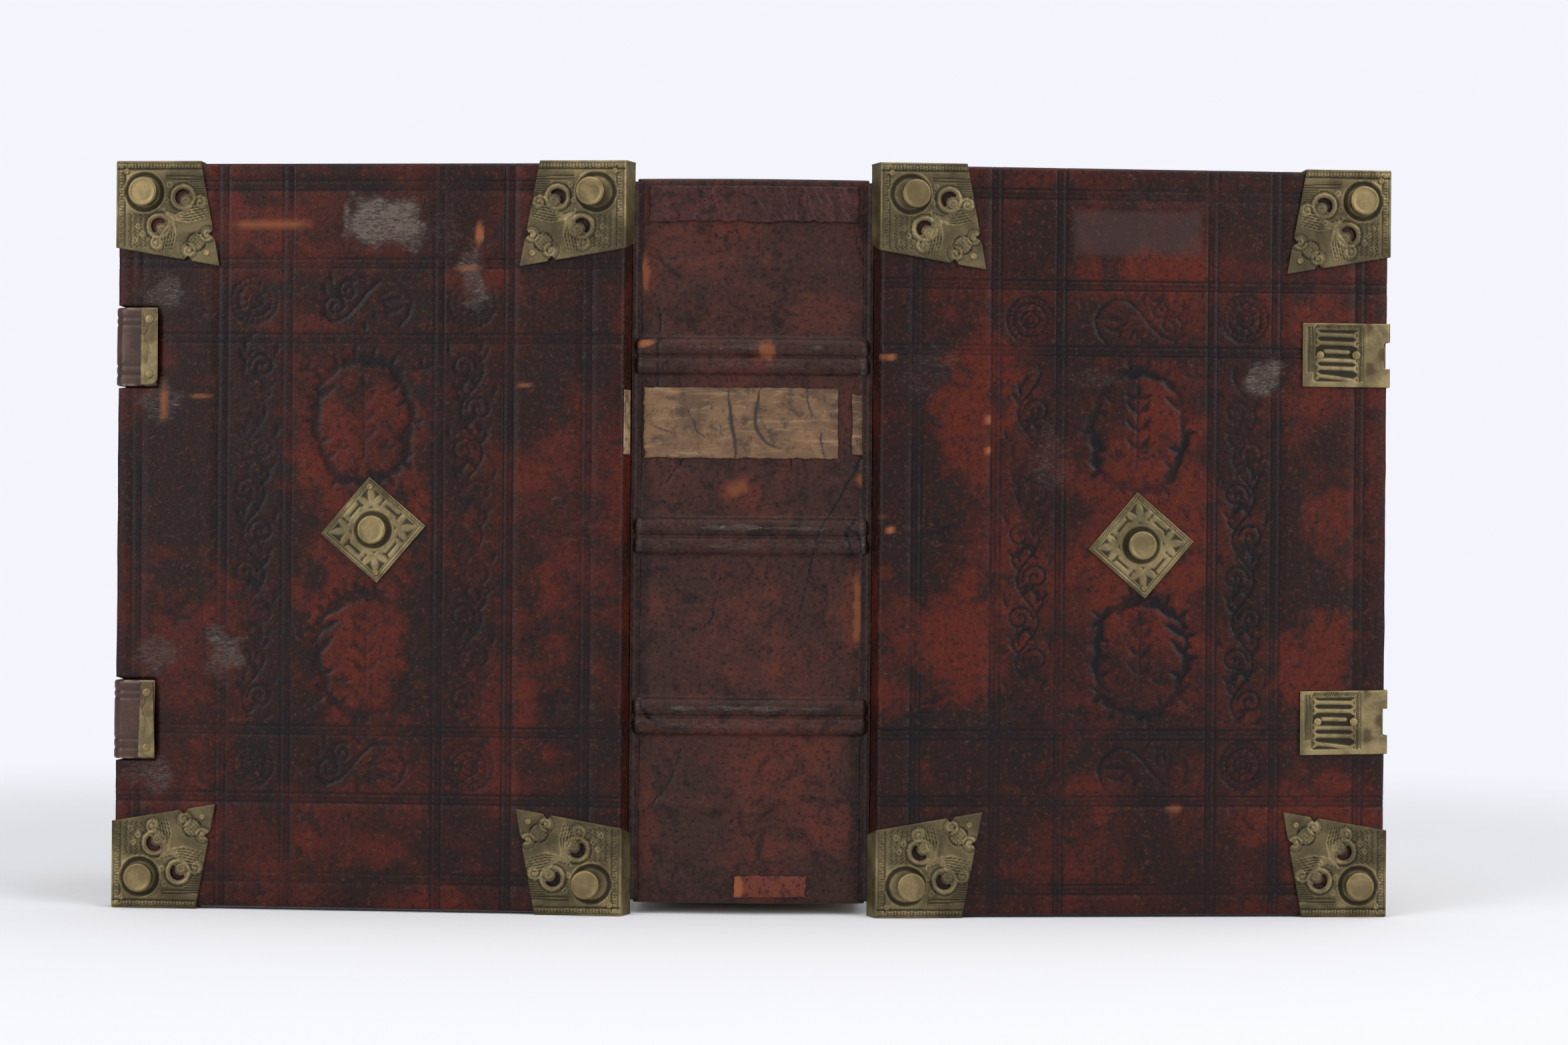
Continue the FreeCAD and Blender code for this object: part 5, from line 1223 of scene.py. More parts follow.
for step in range(7):
    rise = step * 0.75
    cut.stroke([(24.6 + step * 0.4, 7.0 + rise), (30.2 + step * 0.12, 6.8 + rise)], 0.26, 0.9)
cut.ring(*BOSS_AT, 5.7, 1.0, 0.9)
ridge.ring(*BOSS_AT, 6.9, 0.45, 0.8)
for x, y in CRESCENTS:
    ridge.ring(x, y, 3.7, 0.55)
    cut.ring(x, y, 4.7, 0.4, 0.9)
    cut.ring(x + 1.1, y + 1.1, 1.9, 0.25, 0.8)
    ridge.curl(x + 1.2, y + 1.2, 1.7, 0.3, 40, 1, 0.8)
for lift in range(6):
    out, down, far = lift * 0.15, lift * 0.3, lift * 0.9
    flutes = (
        [(15.5, 16.0), (19.5 + out, 19.4 - down), (24.5, 20.2 - lift), (30.6, 18.6 - far)],
        [(16.0, 15.5), (19.4 - down, 19.5 + out), (20.2 - lift, 24.5), (18.8 - far, 29.6)],
    )
    grooves = (
        [(16.0, 16.2), (20.0 + out, 19.0 - down), (25.0, 19.7 - lift), (31.0, 18.1 - far)],
        [(16.2, 16.0), (19.0 - down, 20.0 + out), (19.7 - lift, 25.0), (18.3 - far, 30.0)],
    )
    for flute, groove in zip(flutes, grooves):
        ridge.stroke(flute, 0.34, 1, True)
        cut.stroke(groove, 0.26, 0.9, True)
for x, y, turn, hand in (
    (28.2, 13.6, 200, 1), (14.0, 27.0, 250, -1), (30.6, 24.2, 180, -1), (24.4, 29.4, 270, 1),
):
    ridge.curl(x, y, 2.2, 0.42, turn, hand)
    cut.ring(x, y, 2.75, 0.3, 0.8)
    ridge.dot(x, y, 0.6)
cut.ring(26.9, 26.6, 3.0, 0.45)
for row in range(5):
    for step in range(-2, 3):
        x, y = 25.4 + step * 0.75 + row * 0.72, 25.2 - step * 0.75 + row * 0.72
        ridge.dot(x, y, 0.42)
        cut.dot(x + 0.35, y, 0.26, 0.9)
for row in range(4):
    for down in np.arange(17.5, 27.5, 1.1):
        cut.stroke([(4.6 + row * 1.7, down), (5.4 + row * 1.7, down + 0.8)], 0.28, 0.9)
for spot in ((7.5, 21.5), (9.0, 24.0), (6.5, 26.0), (17.0, 13.0), (18.0, 8.0)):
    ridge.ring(*spot, 0.7, 0.3, 0.9)
on_face = smooth_step(np.minimum(ax, ay), -0.2, 1.0)
corner_relief = (0.3 * ridge.depth - 0.34 * cut.depth) * on_face
corner_low = np.clip(cut.depth - 0.7 * ridge.depth + 0.25 * (np.minimum(ax, ay) < -1.5), 0, 1)
corner_low = np.maximum(corner_low, 0.5 * (1 - ridge.depth) * smooth_step(ax + ay, 16, 24))


def corner_plate(cover, end, side):
    flipped = (side == "fore") != (end == "tail")
    mirrored = flipped if cover == "front" else not flipped

    def place(x, y, height):
        near_x, down_x, angle_x = folded(x, PLATE_TOP - FLANGE_FOOT)
        near_y, down_y, angle_y = folded(y, PLATE_TOP - FLANGE_FOOT)
        down = down_x + down_y
        near_x = near_x - height * np.sin(angle_x)
        near_y = near_y - height * np.sin(angle_y)
        z = PLATE_TOP - down + height * np.minimum(np.cos(angle_x), np.cos(angle_y))
        if side == "spine":
            u = SPINE_FACE + near_x - 0.3 * (PLATE_TOP - z) * np.clip(1 - near_x / KITE[0][0], 0, 1)
        else:
            u = FORE_FACE - near_x
        v = BOOK_HIGH - near_y if end == "head" else near_y
        return on_cover(cover, u, v, z)

    stain = 0.5 * smooth_step(cloud(ax, ay, 9, len(side + end) * 3 + SIDES[cover], 3), 0.55, 0.8)
    name = f"{cover}_{end}_{side}_corner"
    made = corner_blank.form(
        f"{name}_chased", place, corner_relief, BRASS_THICK, corner_brass,
        {"low": corner_low, "stain": stain}, not mirrored,
    )
    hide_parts(name)
    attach(made, f"{cover}_cover")


for cover in SIDES:
    for end in ("head", "tail"):
        for side in ("spine", "fore"):
            corner_plate(cover, end, side)


# ---------------------------------------------------------------------------------------------
# Centre plates: square brass plates set on their corners, with flat leaves left standing from a
# dark cut ground round the boss, and a hatched border.
SQUARE_HALF = 12.25
PLATE_TURN = 4.5
# The middle of each centre plate, along the board and up.
HUBS = {
    "front": (88.34, middle_height("front_centre_plate")),
    "back": (84.34, middle_height("back_centre_plate")),
}
h = SQUARE_HALF
square_blank = Blank([(-h, -h), (h, -h), (h, h), (-h, h)], [], PLATE_STEP)
px, py = square_blank.points[:, 0], square_blank.points[:, 1]
leaves, cuts = Press(px, py), Press(px, py)
leaves.ring(0, 0, 6.6, 0.7)
for quarter in range(4):
    turn = 45 + 90 * quarter
    a = math.radians(turn)
    cx, cy = 8.0 * math.cos(a), 8.0 * math.sin(a)
    leaves.leaf(cx, cy, 6.0, turn - 8, 1.6, 20)
    for side in (-1, 1):
        leaves.leaf(cx, cy, 5.4, turn + side * 62, 1.5, side * -20)
        leaves.leaf(cx, cy, 4.2, turn + side * 100, 1.2, side * 60)
    b = math.radians(90 * quarter)
    out, aside = np.array([math.cos(b), math.sin(b)]), np.array([-math.sin(b), math.cos(b)])
    for far in (7.5, 9.7):
        leaves.stroke([far * out + 2.6 * aside, far * out - 2.6 * aside], 0.9)
    leaves.dot(*(8.6 * out + 2.6 * aside), 1.3)
edge_way = SQUARE_HALF - np.maximum(np.abs(px), np.abs(py))
for level in (0.5, 1.5):
    for s in (-1, 1):
        reach = SQUARE_HALF - level
        cuts.stroke([(s * reach, -reach), (s * reach, reach)], 0.2, 0.8)
        cuts.stroke([(-reach, s * reach), (reach, s * reach)], 0.2, 0.8)
near, far = SQUARE_HALF - 1.3, SQUARE_HALF - 0.6
for step in np.arange(-11, 11, 0.7):
    cuts.stroke([(step, near), (step + 0.4, far)], 0.18, 0.8)
    cuts.stroke([(near, step), (far, step + 0.4)], 0.18, 0.8)
ground = smooth_step(edge_way, 1.9, 2.2) * (1 - leaves.depth)
square_low = np.clip(np.maximum(ground * 0.85, cuts.depth), 0, 1)
for cover in SIDES:
    hub_u, hub_v = HUBS[cover]
    s = SIDES[cover]
    turn = math.radians(PLATE_TURN + 45)

    def place(x, y, height):
        across = x * math.cos(turn) - y * math.sin(turn)
        up = x * math.sin(turn) + y * math.cos(turn)
        edge = smooth_step(SQUARE_HALF - np.maximum(np.abs(x), np.abs(y)), 0, 0.35)
        rise = np.where(height > -BRASS_THICK * 0.9, height - 0.15 * (1 - edge), height)
        return on_cover(cover, hub_u + s * across, hub_v + up, PLATE_TOP + rise)

    made = square_blank.form(
        f"{cover}_centre_plate_cut", place, -0.28 * square_low, BRASS_THICK, corner_brass,
        {"low": square_low, "stain": 0.3 * smooth_step(cloud(px, py, 6, 7 + s, 3), 0.6, 0.8)},
        False,
    )
    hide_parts(f"{cover}_centre_plate")
    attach(made, f"{cover}_cover")


# ---------------------------------------------------------------------------------------------
# Catch plates: brass plates folded over the front board's fore edge, with a slot at the fold for
# the strap's hook. A cut field holds six raised bars, and twisted borders run along three sides.
CATCH_LONG, CATCH_HALF = 29.2, 10.7
SLOT_START, SLOT_STOP, SLOT_CUT = 27.0, CATCH_LONG + FLANGE - 1.2, 0.6
catch_end = CATCH_LONG + FLANGE
catch_slot = [
    (SLOT_START, -SLOT_HALF + SLOT_CUT), (SLOT_START + SLOT_CUT, -SLOT_HALF),
    (SLOT_STOP, -SLOT_HALF), (SLOT_STOP, SLOT_HALF),
    (SLOT_START + SLOT_CUT, SLOT_HALF), (SLOT_START, SLOT_HALF - SLOT_CUT),
]
catch_blank = Blank(
    [(0, -CATCH_HALF), (catch_end, -CATCH_HALF), (catch_end, CATCH_HALF), (0, CATCH_HALF)],
    [catch_slot], PLATE_STEP,
)
px, py = catch_blank.points[:, 0], catch_blank.points[:, 1]
bars, ropes = Press(px, py), Press(px, py)
for index, level in enumerate((6.9, 4.1, 1.3, -1.6, -4.3, -7.0)):
    slant = -1.6 if index == 5 else -0.3
    start, stop = (7.6, 15.0) if index == 2 else (5.3, 17.2)
    bars.stroke(
        [(start, level), ((start + stop) / 2, level + slant * 0.4), (stop, level + slant)], 0.85
    )
    if index != 2:
        for end, toward, shift in ((start, -1, 0), (stop, 1, slant)):
            for tail in (-1, 1):
                bars.stroke([(end - toward * 0.8, level + shift),
                             (end + toward * 0.7, level + shift + tail)], 0.5)
for along in np.arange(4.2, 18.2, 0.8):
    ropes.stroke([(along, 8.9), (along + 0.7, 10.0)], 0.27)
for up in np.arange(-8.8, 9.4, 0.75):
    ropes.stroke([(18.6, up), (19.5, up + 0.7)], 0.27)
    for along in (1.7, 2.8):
        ropes.stroke([(along, up * 0.82 + 1.4), (along + 0.6, up * 0.82 + 1.9)], 0.22)
ropes.stroke([(3.8, -8.6), (3.8, 8.8)], 0.24, 0.8)
ropes.stroke([(20.1, -8.8), (20.1, 9.6)], 0.22, 0.7)
field = smooth_step(px, 4.0, 4.3) * (1 - smooth_step(px, 18.0, 18.3)) * smooth_step(py, -9.0, -8.7)
field = field * (1 - smooth_step(py, 8.3, 8.6))
catch_low = np.clip(np.maximum(field * (1 - bars.depth), ropes.depth), 0, 1)
for name, middle in zip(("upper", "lower"), CATCH_MIDDLES):
    skew = 0.0 if name == "upper" else -1.1

    def place(x, y, height):
        along, down, angle = folded(CATCH_LONG - x, PLATE_TOP - FLANGE_FOOT)
        u = FORE_FACE - along + height * np.sin(angle)
        v = middle + y * 0.975 + skew * np.clip(1 - x / CATCH_LONG, 0, 1) * 0.45
        return on_cover("front", u, v, PLATE_TOP - down + height * np.cos(angle))

    plain = smooth_step(px, 20.5, 21.5)
    stain = plain * smooth_step(cloud(px, py, 5, 5 + len(name), 4), 0.45, 0.75) * 0.8
    made = catch_blank.form(
        f"{name}_catch_plate_cut", place, -0.4 * catch_low, BRASS_THICK, corner_brass,
        {"low": catch_low * 0.95, "stain": stain}, False,
    )
    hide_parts(f"{name}_catch_plate")
    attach(made, "front_cover")


# ---------------------------------------------------------------------------------------------
# Anchor plates: narrow brass strips across the straps where they start on the back board. Each is
# held by two rivets that go through the strap, and the upper one has its corners cut off.
ANCHOR_WIDE, ANCHOR_HALF, ANCHOR_CUT = 5.6, 12.4, 1.5
ANCHOR_U, ANCHOR_TOP, ANCHOR_THICK = 161.6, 9.95, 0.78
w, h, c = ANCHOR_WIDE, ANCHOR_HALF, ANCHOR_CUT
ANCHORS = {
    "upper": [(0, -h), (w - c, -h), (w, c - h), (w, h - c), (w - c, h), (0, h)],
    "lower": [(0, -h), (w, -h), (w - 0.8, h), (0.8, h)],
}
STRAP_MIDDLES = {"upper": sum(BEDS[1]) / 2, "lower": sum(BEDS[0]) / 2}
for name, outline in ANCHORS.items():
    middle = STRAP_MIDDLES[name]
    anchor_blank = Blank(outline, [], 0.5)
    px, py = anchor_blank.points[:, 0], anchor_blank.points[:, 1]
    worn = Press(px, py)
    for start, foot, turn in ((1, 3, 60), (3, -2, 100), (2, -6, 80), (1.5, 6, 95)):
        worn.leaf(start, foot, 5, turn, 0.4, 20, 0.6)
    bent = 0.12 * (cloud(px, py, 6, 9, 2) - 0.5)
    stain = 0.6 * smooth_step(cloud(px, py, 5, 12, 4), 0.45, 0.7)

    def place(x, y, height):
        flat = np.where(height < -0.5, height, np.minimum(height + bent, 0.12))
        return on_cover("back", ANCHOR_U - x, middle + y, ANCHOR_TOP + flat)

    made = anchor_blank.form(
        f"{name}_anchor_strip", place, -0.12 * worn.depth, ANCHOR_THICK, corner_brass,
        {"low": worn.depth * 0.7, "stain": stain}, False,
    )
    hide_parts(f"{name}_anchor_plate")
    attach(made, "back_cover")


# ---------------------------------------------------------------------------------------------
# Bosses and nails: turned brass studs, all of a kind, so one of each is turned and then set in
# every place by a node tree. Rims rubbed bright; lower sides dark with patina and painted shade.
boss_brass = old_brass(
    "rubbed_brass_painted_shade", (0.29, 0.215, 0.10), (0.165, 0.125, 0.058), (0.03, 0.024, 0.012), 0.4
)


def tube(name, grid, material, fields, flip=False):
    """A tube through rows of points, each row a closed loop, with a fan over both ends."""
    rows, around = grid.shape[:2]
    ring = np.arange(around)
    after = np.roll(ring, -1)
    base, tip = (rows - 1) * around, rows * around
    groups = [
        quads_of(rows, around, wrap=True),
        np.stack([np.full(around, tip), after, ring], -1),
        np.stack([np.full(around, tip + 1), base + ring, base + after], -1),
    ]
    if flip:
        groups = [group[:, ::-1] for group in groups]
    points = np.concatenate([grid.reshape(-1, 3), grid[:1].mean(1), grid[-1:].mean(1)])
    spread = {key: np.append(values.ravel(), [0, 0]) for key, values in fields.items()}
    return piece(name, points, groups, material, spread)


def turned(name, profile, around, material):
    """A stud turned from a profile of radius and height, its lower side darkened: patina and painted shade.
    """
    angles = np.arange(around) * 2 * math.pi / around
    radius, height = np.array(profile, float).T
    rise = np.repeat(height[:, None], around, 1)
    grid = np.stack([radius[:, None] * np.cos(angles), radius[:, None] * np.sin(angles), rise], -1)
    # Painted shade with patina: the stud's side below its top is darkened.
    low = np.where(rise < height[0] - 0.8, 0.45, 0.0)
    made = tube(name, grid, material, {"low": low, "stain": np.zeros(low.shape)}, flip=True)
    bpy.context.scene.collection.objects.unlink(made)
    return made


def stud_tree():
    """Sets a stud on every point, turned to face outwards and a little uneven in size."""
    tree = bpy.data.node_groups.new("set_studs", "GeometryNodeTree")
    for label, kind, way in (
        ("Points", "Geometry", "INPUT"), ("Stud", "Object", "INPUT"), ("Facing", "Vector", "INPUT"),
        ("Uneven", "Float", "INPUT"), ("Brass", "Material", "INPUT"), ("Studs", "Geometry", "OUTPUT"),
    ):
        tree.interface.new_socket(label, in_out=way, socket_type=f"NodeSocket{kind}")
    taken, given, info, chance, less, setting, real, paint = (tree.nodes.new(kind) for kind in (
        "NodeGroupInput", "NodeGroupOutput", "GeometryNodeObjectInfo", "FunctionNodeRandomValue",
        "ShaderNodeMath", "GeometryNodeInstanceOnPoints", "GeometryNodeRealizeInstances",
        "GeometryNodeSetMaterial",
    ))
    less.operation = "SUBTRACT"
    less.inputs[0].default_value = 1.0
    chance.inputs["Seed"].default_value = 5
    chance.inputs[3].default_value = 1.0
    for start, end in (
        (taken.outputs["Points"], setting.inputs["Points"]),
        (taken.outputs["Stud"], info.inputs["Object"]),
        (info.outputs["Geometry"], setting.inputs["Instance"]),
        (taken.outputs["Facing"], setting.inputs["Rotation"]),
        (taken.outputs["Uneven"], less.inputs[1]),
        (less.outputs[0], chance.inputs[2]),
        (chance.outputs[1], setting.inputs["Scale"]),
        (setting.outputs[0], real.inputs[0]),
        (real.outputs[0], paint.inputs["Geometry"]),
        (taken.outputs["Brass"], paint.inputs["Material"]),
        (paint.outputs[0], given.inputs[0]),
    ):
        tree.links.new(start, end)
    return tree


stud_nodes = stud_tree()


def set_studs(name, cover, places, stud, uneven, material, slot, *replaced):
    """All the studs of one kind on one cover, as one plain mesh."""
    points = np.array([on_cover(cover, u, v, z) for u, v, z in places]) * MM
    seed = bpy.data.meshes.new(f"{name}_places")
    seed.from_pydata([tuple(p) for p in points], [], [])
    holder = bpy.data.objects.new(f"{name}_places", seed)
    bpy.context.scene.collection.objects.link(holder)
    setter = holder.modifiers.new("studs", "NODES")
    setter.node_group = stud_nodes
    facing = (math.radians(90), 0.0, SIDES[cover] * LEAN)
    given = {"Stud": stud, "Facing": facing, "Uneven": uneven, "Brass": material}
    for item in stud_nodes.interface.items_tree:
        if item.name in given:
            setter[item.identifier] = given[item.name]
    bpy.context.view_layer.update()
    shaped = holder.evaluated_get(bpy.context.evaluated_depsgraph_get())
    mesh = bpy.data.meshes.new_from_object(shaped)
    bpy.data.objects.remove(holder)
    mesh.shade_smooth()
    made = bpy.data.objects.new(name, mesh)
    bpy.context.scene.collection.objects.link(made)
    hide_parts(*replaced)
    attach(made, f"{cover}_cover")


boss_stud = turned("boss_stud", [
    (1.4, 3.12), (2.8, 3.1), (3.7, 3.05), (4.0, 3.18), (4.3, 3.16), (4.6, 2.95), (4.75, 2.6),
    (4.7, 1.4), (4.45, 0.9), (4.5, 0.4), (4.6, -0.3), (1.5, -0.3),
], 48, boss_brass)
nail_stud = turned("nail_stud", [
    (0.25, 0.30), (0.5, 0.40), (0.8, 0.42), (1.0, 0.3), (1.1, 0.08), (1.1, -0.35), (0.5, -0.35),
], 16, boss_brass)
rivet_stud = turned("rivet_stud", [
    (0.5, 0.49), (1.0, 0.47), (1.3, 0.38), (1.45, 0.15), (1.45, -0.3), (0.5, -0.3),
], 20, boss_brass)

CORNER_NAILS = ((3.6, 3.6), (30.4, 30.2))
SPINE_BOSS_SHIFT, NAIL_FROM_TIP = 1.8, 3.3
CATCH_NAILS_U, ANCHOR_NAIL_U, ANCHOR_NAIL_UP = (147.2, 159.2), 158.8, 9.0
for cover in SIDES:
    bosses, nails, names = [], [], []
    for end in ("head", "tail"):
        for side in ("spine", "fore"):
            edge, away = (SPINE_FACE, 1) if side == "spine" else (FORE_FACE, -1)
            start, down = (BOOK_HIGH, -1) if end == "head" else (0.0, 1)
            shift = SPINE_BOSS_SHIFT if side == "spine" else 0.0
            bosses.append((edge + away * (BOSS_AT[0] + shift), start + down * BOSS_AT[1], PLATE_TOP))
            for spot in CORNER_NAILS:
                nails.append((edge + away * spot[0], start + down * spot[1], PLATE_TOP))
            names.append(f"{cover}_{end}_{side}_boss")
    hub = HUBS[cover]
    bosses.append((*hub, PLATE_TOP))
    reach = SQUARE_HALF * math.sqrt(2) - NAIL_FROM_TIP
    lean = math.radians(PLATE_TURN) * SIDES[cover]
    for way in (1, -1) if cover == "back" else (1,):
        tip = (hub[0] + way * reach * math.sin(lean), hub[1] - way * reach * math.cos(lean))
        nails.append((*tip, PLATE_TOP))
    set_studs(f"{cover}_bosses", cover, bosses, boss_stud, 0.03, boss_brass, "old_brass",
              *names, f"{cover}_centre_boss")
    set_studs(f"{cover}_small_nails", cover, nails, nail_stud, 0.12, boss_brass, "nail_brass",
              f"{cover}_plate_nails")
catch_nails = [(u, v, PLATE_TOP) for v in CATCH_MIDDLES for u in CATCH_NAILS_U]
anchor_nails = [
    (ANCHOR_NAIL_U, middle + up, ANCHOR_TOP) for middle in STRAP_MIDDLES.values()
    for up in (-ANCHOR_NAIL_UP, ANCHOR_NAIL_UP)
]
set_studs("catch_rivets", "front", catch_nails, rivet_stud, 0.25, boss_brass, "nail_brass",
          "front_catch_nails")
set_studs("anchor_rivets", "back", anchor_nails, rivet_stud, 0.05, boss_brass, "nail_brass",
          "back_anchor_nails")


# ---------------------------------------------------------------------------------------------
# Straps: folded leather, nailed to the back board, bent round its fore edge and hanging behind
# it to a brass hook. Four creases run along each one, and its edges are rubbed pale.
strap_skin = Finish("strap_leather")
at = strap_skin.place()
soft = strap_skin.clouds(at, 130, 5, 0.6)
pores = strap_skin.clouds(at, 1400, 3, 0.7)
colour = strap_skin.mix(
    strap_skin.between(soft, 0.35, 0.7), (0.034, 0.0140, 0.0095), (0.064, 0.0265, 0.0175)
)
colour = strap_skin.mix(strap_skin.between(pores, 0.5, 0.7) * 0.3, colour, (0.11, 0.06, 0.042))
colour = strap_skin.mix(strap_skin.field("crease") * 0.6, colour, (0.030, 0.014, 0.010))
colour = strap_skin.mix(strap_skin.field("edge"), colour, (0.42, 0.33, 0.22))
strap_leather = strap_skin.surface(
    colour, 0.33, normal=strap_skin.bump(0.5 * pores + soft, 0.00012, 0.6), Specular_IOR_Level=0.35
)
STRAP_HALF, STRAP_HALF_THICK, STRAP_ROUND = 12.95, 1.28, 0.7
STRAP_ACROSS = 46
CREASES = (9.7, 7.3, -6.3, -9.3)
FOLD_ROUND, FOLD_U, FOLD_RISE = 2.6, 167.0, 5.2
# The strap's middle line from its root on the board, round the fore edge, to its free end, as
# distance along the board and rise off the board's inside.
STRAP_WAY = [(156.7, 7.8), (159.0, 7.8), (162.0, 7.8), (165.0, 7.8), (166.6, 7.78)]
for turn in np.radians(np.arange(80, -1, -10)):
    bent_u, bent_rise = FOLD_ROUND * math.cos(turn), FOLD_ROUND * math.sin(turn)
    STRAP_WAY.append((FOLD_U + bent_u, FOLD_RISE + bent_rise))
for drop in (3.6, 2.2, 1.0, -0.2, -1.4, -3, -5, -8, -12, -18, -26, -36, -46, -56, -66, -74.5):
    STRAP_WAY.append((FOLD_U + FOLD_ROUND, drop))


def strap(name, middle, seed):
    way = np.array(STRAP_WAY)
    fine = np.linspace(0, len(way) - 1, 3 * len(way))
    line = np.stack([np.interp(fine, np.arange(len(way)), way[:, k]) for k in (0, 1)], -1)
    ahead = np.gradient(line, axis=0)
    ahead /= np.linalg.norm(ahead, axis=1, keepdims=True)
    outward = np.stack([-ahead[:, 1], ahead[:, 0]], -1)
    straight = STRAP_HALF - STRAP_ROUND
    flat = np.linspace(-straight, straight, STRAP_ACROSS)
    bend = np.radians(np.linspace(90, -90, 7)[1:-1])
    rounded = straight + STRAP_ROUND * np.cos(bend)
    y = np.concatenate([flat, rounded, flat[::-1], -rounded])
    side = np.concatenate([np.ones(len(flat)), np.sin(bend), -np.ones(len(flat)), -np.sin(bend)])
    crease = sum(np.exp(-(((y - mark) / 0.42) ** 2)) for mark in CREASES) * (side > 0.5)
    along = fine[:, None]
    swell = (cloud(along * 2.0, y[None], 9, seed, 3) - 0.5) * 0.28
    lift = (side * STRAP_HALF_THICK - 0.3 * crease)[None] + np.where(side > 0.5, swell - 0.12, 0)
    ragged = (cloud(along * 1.5, y[None] * 0.3, 5, seed + 1, 3) - 0.5) * 0.3
    narrowed = 1 - 0.012 * cloud(along, 0 * y[None], 6, seed + 2, 2)
    v = middle + y[None] * narrowed + ragged * 0.3
    u = line[:, :1] + outward[:, :1] * lift
    w = line[:, 1:] + outward[:, 1:] * lift
    patchy = smooth_step(cloud(along * 2, y[None], 4, seed + 3, 3), 0.45, 0.7)
    pale = 0.75 * np.exp(-(((np.abs(y) - STRAP_HALF) / 0.5) ** 2)) * patchy
    made = tube(
        f"{name}_strap_folded", on_cover("back", u, v, w), strap_leather,
        {"crease": np.repeat(crease[None], len(along), 0), "edge": pale},
    )
    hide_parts(f"{name}_strap_root", f"{name}_strap")
    start = on_cover("back", 170.95, middle, 2.6) * MM
    end = on_cover("back", 170.95, middle, -0.6) * MM
    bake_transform(made)


for name, middle in STRAP_MIDDLES.items():
    strap(name, middle, 200 + len(name))


# ---------------------------------------------------------------------------------------------
# The text block: gatherings of thick old paper, sewn on the cords and glued at the spine. Its
# edges are uneven and brown, and its fore edge is hollow where the back is round.
page_paper = Finish("page_paper")
at = page_paper.place()
leaves_seen = page_paper.clouds(page_paper.stretch(at, 60, 0.02, 0.02), 70, 2, 0.5)
stain = page_paper.clouds(at, 22, 5, 0.6, 0.5)
colour = page_paper.mix(
    page_paper.between(leaves_seen, 0.42, 0.6), (0.20, 0.145, 0.085), (0.47, 0.39, 0.27)
)
colour = page_paper.mix(page_paper.between(stain, 0.5, 0.8) * 0.35, colour, (0.20, 0.13, 0.07))
page_edges = page_paper.surface(colour, 0.85, normal=page_paper.bump(leaves_seen, 0.0004, 0.8))
BLOCK_HALF, BLOCK_FORE, BLOCK_HOLLOW = 37.6, 88.8, 2.0
BLOCK_TAIL, BLOCK_HEAD, BLOCK_SAG = 0.25, 230.5, 6.5
FORE_TAIL, FORE_HIGH = 0.35, 229.9
GATHERINGS, GATHERING_COLUMNS = 20, 13
columns = np.linspace(-BLOCK_HALF, BLOCK_HALF, GATHERINGS * GATHERING_COLUMNS)
dice = np.random.default_rng(4)
gathering = np.repeat(dice.uniform(0, 0.45, GATHERINGS), GATHERING_COLUMNS)
ragged = gathering + dice.uniform(0, 0.22, len(columns))
rim = [
    *[(share, "head") for share in np.linspace(0, 1, 14)],
    *[(share, "fore") for share in np.linspace(1, 0, 40)[1:-1]],
    *[(share, "tail") for share in np.linspace(1, 0, 14)],
]
spine_y = spine_face(columns) + 1.45
fore_y = BLOCK_FORE - BLOCK_HOLLOW * (1 - (columns / BLOCK_HALF) ** 2) - ragged
grid = np.zeros((len(columns), len(rim), 3))
for k, (share, where) in enumerate(rim):
    wave = 0.12 * (cloud(columns, share * 60 + 0 * columns, 6, 7, 2) - 0.5)
    if where == "fore":
        y = fore_y + wave * 2
        z = FORE_TAIL + share * FORE_HIGH + 0 * columns
    else:
        y = spine_y + (fore_y - spine_y) * share
        level, side = (BLOCK_HEAD, -0.6) if where == "head" else (BLOCK_TAIL, 0.6)
        z = level + BLOCK_SAG * (1 - share) + side * ragged + wave
    grid[:, k] = np.stack([columns, y, z], -1)
made = tube("sewn_pages", grid, page_edges, {}, flip=True)
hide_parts("text_block")
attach(made, "book_block")


# ---------------------------------------------------------------------------------------------
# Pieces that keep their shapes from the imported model: endbands, cords, boards, pastedowns, the
# label's third scrap, and the hooks.
def dress(material, *names):
    for name in names:
        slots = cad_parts[name].data.materials
        for index in range(len(slots)):
            slots[index] = material


thread = Finish("endband_thread")
at = thread.place()
wraps = thread.node("ShaderNodeTexWave", {"wave_type": "BANDS", "bands_direction": "X"},
                    {"Vector": at, "Scale": 260.0, "Distortion": 0.6})
colour = thread.mix(thread.between(wraps, 0.4, 0.6), (0.19, 0.13, 0.07), (0.055, 0.035, 0.05))
dress(thread.surface(colour, 0.8, normal=thread.bump(wraps, 0.0003)), "head_endband", "tail_endband")

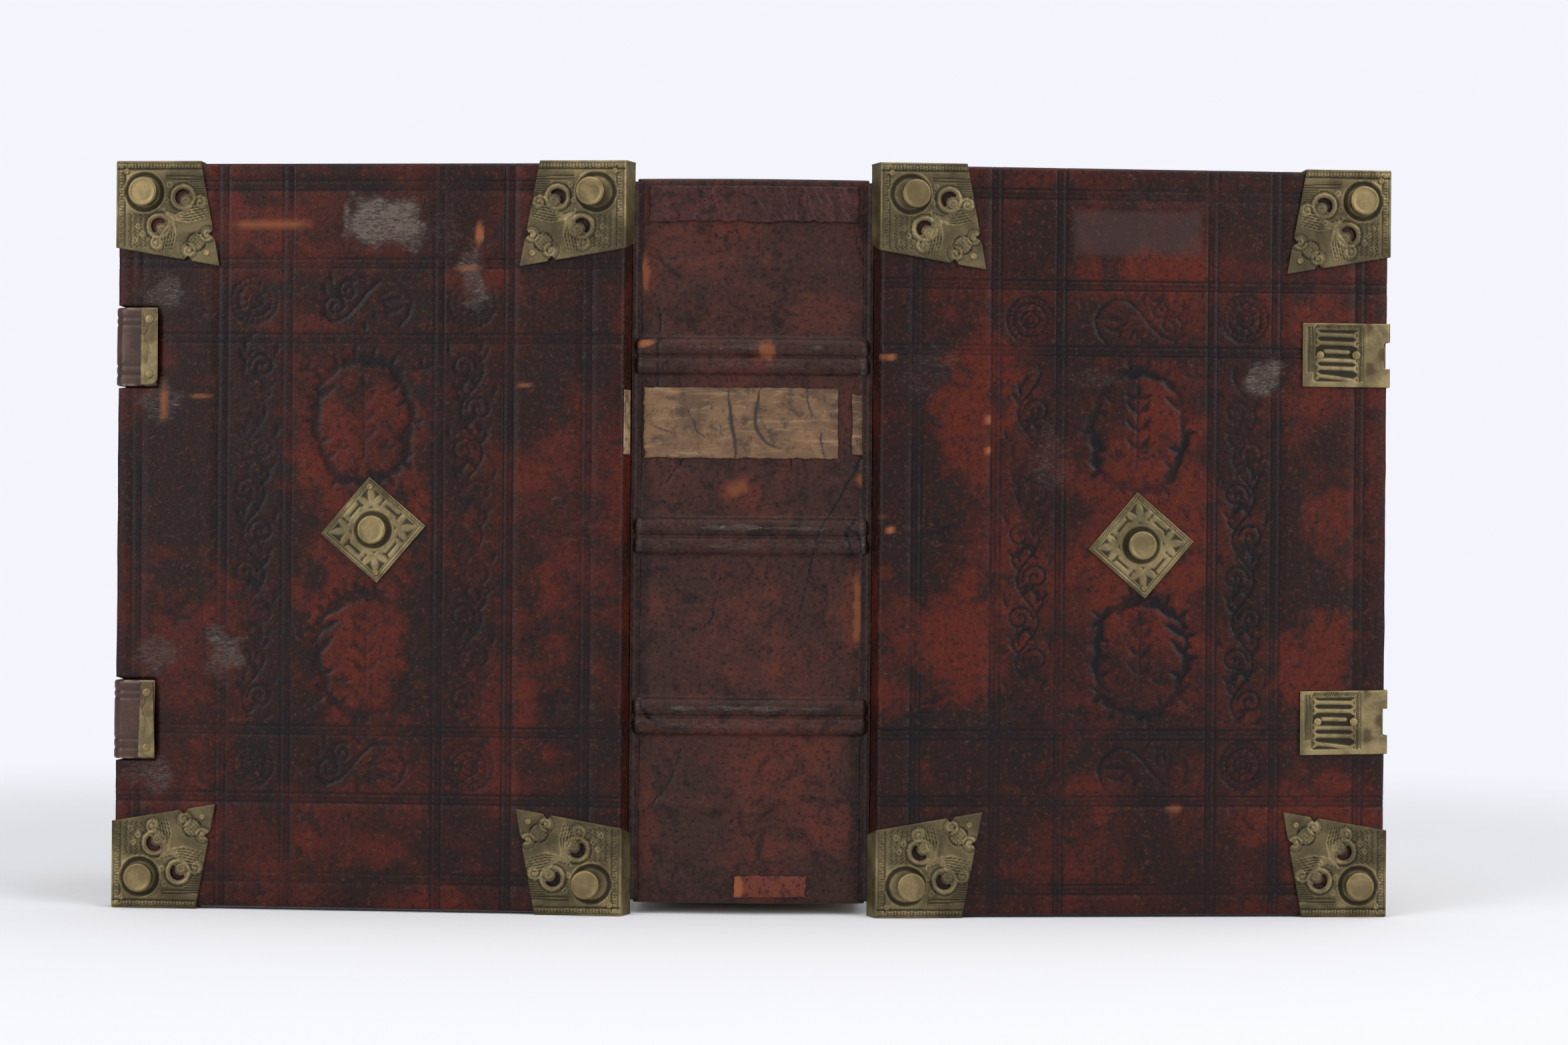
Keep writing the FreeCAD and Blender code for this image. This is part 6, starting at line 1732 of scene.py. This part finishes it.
hemp = Finish("hemp_cord")
at = hemp.place()
strands = hemp.node("ShaderNodeTexWave", {"bands_direction": "DIAGONAL"},
                    {"Vector": at, "Scale": 300.0, "Distortion": 1.2})
colour = hemp.mix(strands, (0.12, 0.085, 0.045), (0.26, 0.20, 0.12))
dress(hemp.surface(colour, 0.9, normal=hemp.bump(strands, 0.0003)),
      "upper_band_cords", "middle_band_cords", "lower_band_cords", "front_cord_ends", "back_cord_ends")

wood = Finish("board_wood")
at = wood.place()
grain = wood.clouds(wood.stretch(at, 6, 6, 0.35), 60, 5, 0.6, 0.8)
colour = wood.mix(wood.between(grain, 0.35, 0.65), (0.11, 0.062, 0.030), (0.23, 0.145, 0.075))
dress(wood.surface(colour, 0.75, normal=wood.bump(grain, 0.0003)), "front_board", "back_board")

paste = Finish("pastedown_paper")
at = paste.place()
foxing = paste.clouds(at, 60, 6, 0.7, 0.8)
soiled = paste.clouds(at, 9, 4, 0.6, 0.5)
fibre = paste.clouds(at, 900, 3, 0.7)
colour = paste.mix(paste.between(soiled, 0.35, 0.7), (0.31, 0.235, 0.145), (0.45, 0.37, 0.25))
colour = paste.mix(paste.between(foxing, 0.6, 0.75) * 0.55, colour, (0.20, 0.115, 0.055))
dress(paste.surface(colour, 0.85, normal=paste.bump(fibre + foxing, 0.0002, 0.6)),
      "front_pastedown", "back_pastedown")

scrap = Finish("label_scrap")
at = scrap.place()
tone = scrap.clouds(at, 120, 5, 0.7, 1.0)
colour = scrap.mix(scrap.between(tone, 0.4, 0.62), (0.11, 0.06, 0.03), (0.34, 0.23, 0.125))
dress(scrap.surface(colour, 0.75, normal=scrap.bump(tone, 0.0002)), "back_label_strip")

hook = Finish("hook_brass")
at = hook.place()
tone = hook.clouds(at, 110, 5, 0.65, 0.4)
fine = hook.clouds(at, 1100, 3, 0.7)
colour = hook.mix(hook.between(tone, 0.35, 0.65), (0.17, 0.13, 0.07), (0.38, 0.30, 0.155))
hook_brass = hook.surface(colour, (0.3 + 0.25 * tone).clip(), 0.85, hook.bump(fine + tone, 0.0001))
for name in ("upper", "lower"):
    dress(hook_brass, f"{name}_hook_plate", f"{name}_hook_backplate", f"{name}_hook_rivets")
